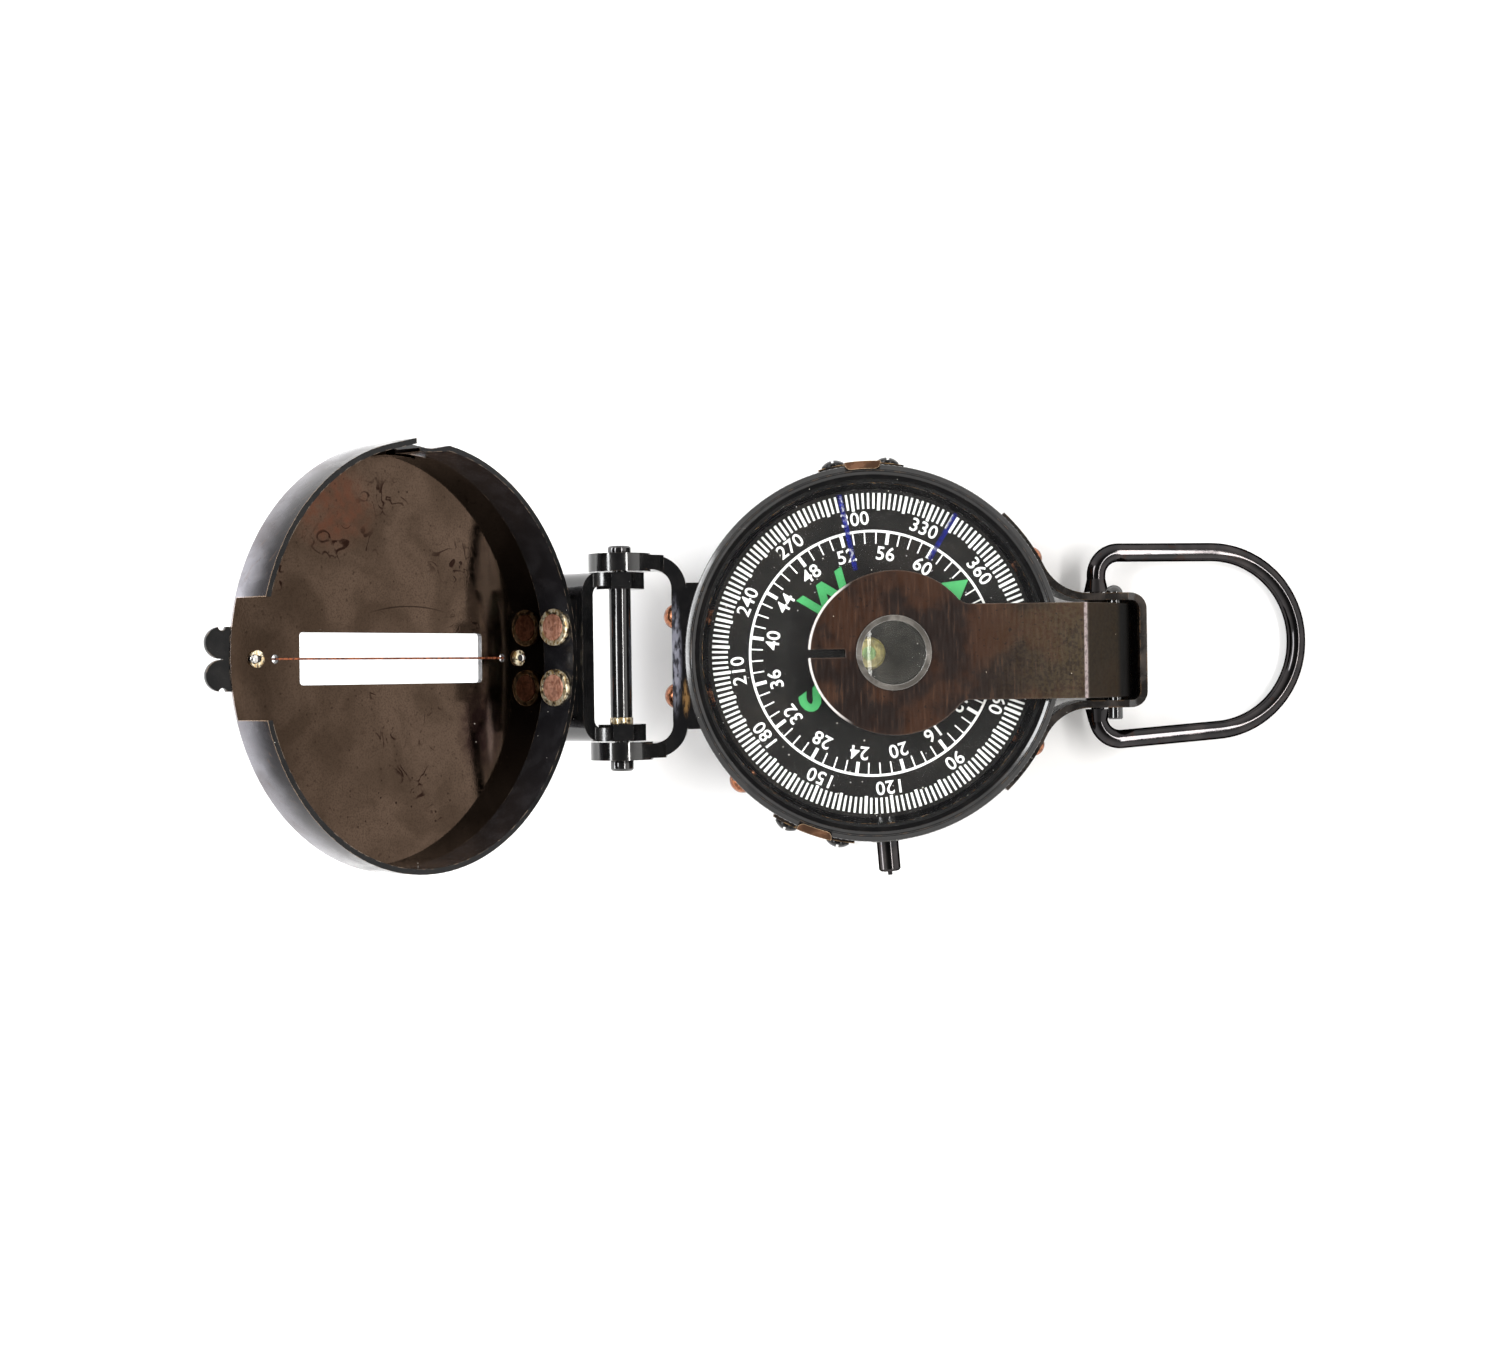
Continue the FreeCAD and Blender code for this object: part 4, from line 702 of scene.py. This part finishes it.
def slab(bm, corners, z0, z1):
    """Thin closed plate with the given plan corners."""
    low = [bm.verts.new((x, y, z0)) for x, y in corners]
    high = [bm.verts.new((x, y, z1)) for x, y in corners]
    bm.faces.new(high)
    bm.faces.new(list(reversed(low)))
    for k in range(len(corners)):
        after = (k + 1) % len(corners)
        bm.faces.new((low[k], low[after], high[after], high[k]))


def bar(bm, degrees, r0, r1, width, z0, z1):
    """Radial bar between two radii, in millimetres."""
    angle = math.radians(degrees)
    along = Vector((math.cos(angle), math.sin(angle)))
    across = Vector((-along.y, along.x)) * (width / 2)
    corners = [along * r1 + across, along * r0 + across, along * r0 - across, along * r1 - across]
    slab(bm, [(c.x * MM, c.y * MM) for c in corners], z0, z1)


# ---- bezel and crystal ---------------------------------------------------------------------------
def make_bezel():
    """Turned bezel with a knurled edge, a flat band and a lip over the crystal."""
    r, top, low = BEZEL_R, BEZEL_TOP, BEZEL_LOW.z
    bore = r - BORE_IN
    seat_z = low + SEAT_UP
    seat_r = r - SEAT_IN
    inner = r - BORE_FACE_IN
    corner = BEZEL_CORNER
    ridge = BEZEL_RIDGE
    profile = [(bore, low, 0)]
    profile += arc(r - corner, low + corner, corner, 270, 360, 3)
    profile += [(r, low + ridge, 0), (r, low + 1.6 * ridge, 1)]
    profile += [(r, top - 1.6 * ridge, 1), (r, top - ridge, 0.2)]
    for inward, down in BEZEL_TOP_EDGE:
        profile.append((r - inward * MM, top - down * MM, 0))
    profile += [(inner, top - SEAT_LIP, 0), (inner, seat_z + SEAT_LIP, 0)]
    profile += [(seat_r, seat_z + SEAT_LIP, 0), (seat_r, seat_z, 0), (bore, seat_z, 0)]
    steps = KNURL_TEETH * 4
    depths = (0.0, 0.55, 1.0, 0.55)
    vertices, faces = lathe(profile, steps, lambda step: KNURL_DEPTH * depths[step % 4])
    mesh = bpy.data.meshes.new("bezel_knurled")
    mesh.from_pydata(vertices, [], faces)
    smooth(mesh, 16)
    materials = [mats["bezel"], mats["bezel_bore"]]
    link("bezel_knurled", mesh, materials, "bezel", ["bezel_ring"])
    for polygon in mesh.polygons:
        inside = math.hypot(polygon.center.x, polygon.center.y) < inner + 0.02 * MM
        polygon.material_index = int(inside)


def make_index_lines():
    """Two blue lines on the crystal, which turn with the bezel."""
    bm = bmesh.new()
    for degrees, r1, r0 in INDEX_LINES:
        bar(bm, degrees, r0, r1 - INDEX_SHORTER, INDEX_W, CRYSTAL_TOP, CRYSTAL_TOP + PRINT_T * MM)
    mesh = mesh_from(bm, "crystal_index_lines")
    link("crystal_index_lines", mesh, [mats["index"]], "bezel")


# ---- card ----------------------------------------------------------------------------------------
def dial_angle(share):
    """Direction, in degrees from +X, of a share of the dial's circle counted clockwise from north."""
    return NORTH_DEG - 360 * share


def label(text, degrees, radius, height, bold=0.0):
    """Outward-facing figures as a thin mesh object, centred on a radius in millimetres."""
    curve = bpy.data.curves.new("label", "FONT")
    curve.body = text
    curve.align_x = "CENTER"
    curve.align_y = "CENTER"
    curve.size = height * MM / CAPITAL_SHARE
    curve.extrude = PRINT_T * MM / 2
    curve.offset = bold * MM
    curve.space_character = 1.04
    curve.resolution_u = 4
    lettering = bpy.data.objects.new("label", curve)
    bpy.context.scene.collection.objects.link(lettering)
    bpy.context.view_layer.update()
    mesh = bpy.data.meshes.new_from_object(lettering)
    bpy.data.objects.remove(lettering)
    angle = math.radians(degrees)
    away = radius * MM
    middle_z = CARD_TOP + PRINT_T * MM / 2
    place = Vector((away * math.cos(angle), away * math.sin(angle), middle_z))
    mesh.transform(Matrix.Translation(place) @ Matrix.Rotation(angle - math.pi / 2, 4, "Z"))
    return mesh


def add_labels(bm, labels):
    """Adds finished label meshes to an edit mesh and frees them."""
    for mesh in labels:
        bm.from_mesh(mesh)
        bpy.data.meshes.remove(mesh)
    bmesh.ops.remove_doubles(bm, verts=bm.verts, dist=1e-8)


def make_white_print():
    """The card's degree scale, mil scale, their numbers and the circle between them."""
    z0, z1 = CARD_TOP, CARD_TOP + PRINT_T * MM
    bm = bmesh.new()
    for tick in range(DEGREE_TICKS):
        ten = tick % 5 == 0
        outer, inner = TEN_TICK if ten else DEGREE_TICK
        width = TEN_TICK_W if ten else DEGREE_TICK_W
        bar(bm, dial_angle(tick / DEGREE_TICKS), inner, outer, width, z0, z1)
    for tick in range(1, MIL_TICKS):
        width = FOURTH_TICK_W if tick % 4 == 0 else MIL_TICK_W
        bar(bm, dial_angle(tick / MIL_TICKS), MIL_TICK[1], MIL_TICK[0], width, z0, z1)
    degree_label = (DEGREE_LABEL_R, DEGREE_LABEL_H, DEGREE_LABEL_BOLD)
    add_labels(bm, [label(str(30 * k), dial_angle(k / 12), *degree_label) for k in range(1, 13)])
    mil_label = (MIL_LABEL_R, MIL_LABEL_H, MIL_LABEL_BOLD)
    add_labels(bm, [label(str(4 * k), dial_angle(k / 16), *mil_label) for k in range(1, 16)])
    mesh = mesh_from(bm, "dial_print_white")
    link("dial_print_white", mesh, [mats["white"]], "card")
    half = CIRCLE_W / 2 * MM
    low_r, high_r = CIRCLE_R * MM - half, CIRCLE_R * MM + half
    profile = [(low_r, z0, 0), (high_r, z0, 0), (high_r, z1, 0), (low_r, z1, 0)]
    circle = bpy.data.meshes.new("dial_circle")
    vertices, faces = lathe(profile, 180)
    circle.from_pydata(vertices, [], faces)
    link("dial_circle", circle, [mats["white"]], "card")


def make_green_print():
    """The card's north arrow and its three letters."""
    z0, z1 = CARD_TOP, CARD_TOP + PRINT_T * MM
    bm = bmesh.new()
    tip, foot, width = ARROW
    north = math.radians(NORTH_DEG)
    along = Vector((math.cos(north), math.sin(north)))
    across = Vector((-along.y, along.x)) * (width / 2)
    corners = [along * tip, along * foot + across, along * foot - across]
    slab(bm, [(c.x * MM, c.y * MM) for c in corners], z0, z1)
    add_labels(bm, [label(text, dial_angle(share), CARDINAL_R, CARDINAL_H, CARDINAL_BOLD)
                    for text, share in (("E", 0.25), ("S", 0.5), ("W", 0.75))])
    link("dial_print_green", mesh_from(bm, "dial_print_green"), [mats["green"]], "card")


# ---- lid -----------------------------------------------------------------------------------------
def paint_lid(piece):
    """Gives the lid's inner face, inner wall, outside and tab their own materials."""
    shut = lid_to_shut()
    turn = shut.to_3x3()
    for polygon in piece.data.polygons:
        normal = turn @ polygon.normal
        centre = shut @ polygon.center
        radius = math.hypot(centre.x, centre.y)
        facing_out = normal.x * centre.x + normal.y * centre.y > 0
        near_face = centre.z > LID_FACE_Z - 0.3 * MM
        if radius > LID_WALL_OUT_R + 0.35 * MM or centre.z < LID_RIM_Z:
            polygon.material_index = TAB
        elif normal.z < -0.9 and centre.z > LID_FACE_Z:
            polygon.material_index = BRONZE
        elif radius < LID_WALL_IN_R and (not facing_out or near_face) and normal.z < 0.5:
            polygon.material_index = WALL
        else:
            polygon.material_index = OUTER


def make_solder():
    """Beads of solder where the sighting wire passes through the lid."""
    shut = lid_to_shut()
    corners = [nodes["sight_wire"].matrix_world @ v.co for v in nodes["sight_wire"].data.vertices]
    along = [shut @ corner for corner in corners]
    x0, x1 = min(v.x for v in along), max(v.x for v in along)
    z_low = min(v.z for v in along)
    bm = bmesh.new()
    for x in (x0 + SOLDER_R / 2, x1 - SOLDER_R / 2):
        ball = bmesh.ops.create_icosphere(bm, subdivisions=3, radius=SOLDER_R)
        place = shut.inverted() @ Vector((x, 0, z_low + SOLDER_R * 0.3))
        bmesh.ops.translate(bm, verts=ball["verts"], vec=place)
    mesh = mesh_from(bm, "wire_solder")
    smooth(mesh)
    link("wire_solder", mesh, [mats["solder"]], "lid")


def make_screw_centres():
    """Dark domed ends of the two screws that hold the sighting wire."""
    bm = bmesh.new()
    whole = bmesh.new()
    whole.from_mesh(nodes["wire_screws"].data)
    shut = lid_to_shut()
    for side in (-1, 1):
        places = [shut @ vert.co for vert in whole.verts if (shut @ vert.co).x * side > 0]
        x = (min(place.x for place in places) + max(place.x for place in places)) / 2
        z = min(place.z for place in places)
        dome = bmesh.ops.create_icosphere(bm, subdivisions=3, radius=SCREW_EYE_R)
        bmesh.ops.scale(bm, verts=dome["verts"], vec=(1, 1, 0.5))
        bmesh.ops.transform(bm, verts=dome["verts"], matrix=shut.inverted() @ Matrix.Translation((x, 0, z)))
    whole.free()
    mesh = mesh_from(bm, "screw_centres")
    smooth(mesh)
    link("screw_centres", mesh, [mats["plunger"]], "lid")


def make_tube_collar():
    """Bare brass end of the tube between the lid's two hinge bosses."""
    low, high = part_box("hinge_spacer_tube")
    radius = (high.x - low.x) / 2
    half = COLLAR_W / 2
    profile = [(radius - COLLAR_T, -half, 0)]
    profile += arc(radius, -half + COLLAR_T, COLLAR_T, 270, 360, 3)
    profile += arc(radius, half - COLLAR_T, COLLAR_T, 0, 90, 3)
    profile += [(radius - COLLAR_T, half, 0)]
    vertices, faces = lathe(profile, 48)
    mesh = bpy.data.meshes.new("tube_collar")
    mesh.from_pydata(vertices, [], faces)
    middle = (low + high) / 2
    place = Matrix.Translation((middle.x, low.y + half, middle.z))
    mesh.transform(place @ Matrix.Rotation(math.radians(90), 4, "X"))
    smooth(mesh, 40)
    link("tube_collar", mesh, [mats["brass"]], nodes["hinge_spacer_tube"]["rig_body"])


def make_lid():
    """The lid and all that swings with it."""
    shell = refined("lid_shell", mats["bronze"], 0.09)
    for name in ("wall", "outer", "tab"):
        shell.data.materials.append(mats[name])
    paint_lid(shell)
    refined("lid_hinge_bracket", mats["hinge"], 0.3, 3)
    refined("lid_bracket_rivets", mats["rivet_face"], 0.12)
    refined("lid_rivet_washers", mats["brass"], 0.2)
    refined("wire_screws", mats["brass"], 0.1)
    make_solder()
    make_screw_centres()
    keep("hinge_spacer_tube", mats["hinge"])
    make_tube_collar()
    keep("sight_wire", mats["wire_copper"])


# ---- hinge, arm, bracket, ring -------------------------------------------------------------------
def make_hinge():
    """The case's half of the lid hinge, with its pin."""
    refined("front_hinge_bracket", mats["fork"], 0.4, 3)
    refined("front_bracket_rivets", mats["copper"], 0.1)
    refined("hinge_pin", mats["hinge"], 0.12)
    refined("hinge_pin_collar", mats["hinge"], 0.12)


def make_arm():
    """The lens arm, the bracket that holds it and the carrying ring."""
    refined("lens_arm_plate", mats["lacquer"], 0.28, 3)
    refined("lens_ring", mats["rim"], 0.06)
    keep("lens", mats["lens"])
    refined("rear_bracket", mats["bracket"], 0.2, 3)
    refined("rear_bracket_rivets", mats["copper"], 0.1)
    refined("lens_arm_pin", mats["hinge"], 0.1)
    keep("carry_ring", mats["ring"])


def make_case_parts():
    """The case with its clips, wall rivet and brake plunger."""
    refined("case_body", mats["case"], 0.12)
    for number in (1, 2):
        refined(f"bezel_clip_{number}", mats["clip"], 0.08)
        refined(f"clip_tongue_{number}", mats["tongue"], 0.12)
    refined("clip_screws", mats["tab"], 0.08)
    refined("wall_rivet", mats["copper"], 0.1)
    refined("brake_plunger", mats["plunger"], 0.08)
    refined("plunger_guide", mats["case"], 0.1)


def make_inside():
    """What lies under the bezel: crystal, card, pivot, magnets and brake."""
    keep("crystal_retaining_ring", mats["bezel_bore"])
    for name in ("card_magnet_1", "card_magnet_2", "pivot_needle", "lever_spring", "lever_pin"):
        keep(name, mats["steel"])
    keep("plunger_clip", mats["steel"])
    keep("card_hub", mats["hub"])
    for name in ("pivot_post", "brake_lever", "lever_stand", "lever_spring_rivet"):
        keep(name, mats["clean_brass"])
    keep("card_disc", mats["card"])
    keep("crystal", mats["glass"])
    keep("jewel_cap", mats["jewel"])
    keep("crystal_gasket", mats["rubber"])


# ---- floor, light and camera ---------------------------------------------------------------------
def make_floor():
    """Plain pale table top."""
    mesh = bpy.data.meshes.new("floor")
    half = FLOOR_HALF
    corners = [(-half, -half, 0), (half, -half, 0), (half, half, 0), (-half, half, 0)]
    mesh.from_pydata(corners, [], [(0, 1, 2, 3)])
    floor = bpy.data.objects.new("floor", mesh)
    bpy.context.scene.collection.objects.link(floor)
    material = bpy.data.materials.new("floor_white")
    material.use_nodes = True
    shader = material.node_tree.nodes["Principled BSDF"]
    shader.inputs["Base Color"].default_value = (FLOOR_GREY, FLOOR_GREY, FLOOR_GREY, 1)
    shader.inputs["Roughness"].default_value = 0.9
    mesh.materials.append(material)


def soft_box(name, direction, distance, size, radiance, colour):
    """Rectangular lamp that faces the object; radiance is how bright its face looks."""
    data = bpy.data.lights.new(name, "AREA")
    data.shape = "RECTANGLE"
    data.size, data.size_y = size
    data.energy = radiance * math.pi * size[0] * size[1]
    data.color = colour
    lamp = bpy.data.objects.new(name, data)
    away = Vector(direction).normalized()
    lamp.location = away * distance
    lamp.rotation_euler = away.to_track_quat("Z", "Y").to_euler()
    bpy.context.scene.collection.objects.link(lamp)


def make_light():
    """A pale room that is darker overhead, with three window-like lamps."""
    world = bpy.data.worlds.new("studio")
    world.use_nodes = True
    tree = world.node_tree
    coordinate = tree.nodes.new("ShaderNodeTexCoord")
    split = tree.nodes.new("ShaderNodeSeparateXYZ")
    ramp = tree.nodes.new("ShaderNodeValToRGB")
    tree.links.new(coordinate.outputs["Generated"], split.inputs[0])
    tree.links.new(split.outputs["Z"], ramp.inputs[0])
    tree.links.new(ramp.outputs[0], tree.nodes["Background"].inputs["Color"])
    stops = ramp.color_ramp
    stops.elements[0].position = 0.0
    stops.elements[0].color = (0.95, 0.94, 0.92, 1)
    stops.elements[1].position = 1.0
    stops.elements[1].color = (0.06, 0.06, 0.063, 1)
    for position, value in ROOM_LEVELS:
        stop = stops.elements.new(position)
        stop.color = (value, value * 0.985, value * 0.96, 1)
    tree.nodes["Background"].inputs["Strength"].default_value = ROOM_STRENGTH
    bpy.context.scene.world = world
    for lamp in LAMPS:
        soft_box(*lamp)
    bpy.context.scene.view_settings.view_transform = "Standard"


def make_camera():
    """Looks straight down from above the middle of the open compass."""
    data = bpy.data.cameras.new("camera")
    data.lens = CAMERA_LENS
    data.sensor_width = 36
    data.clip_start = 0.01
    camera = bpy.data.objects.new("camera", data)
    camera.location = (*CAMERA_OFFSET, CAMERA_HEIGHT)
    camera.rotation_euler = (0, 0, CAMERA_ROLL)
    bpy.context.scene.collection.objects.link(camera)
    bpy.context.scene.camera = camera


make_camera()
make_floor()
make_light()
make_bezel()
make_index_lines()
make_white_print()
make_green_print()
make_lid()
make_hinge()
make_arm()
make_case_parts()
make_inside()
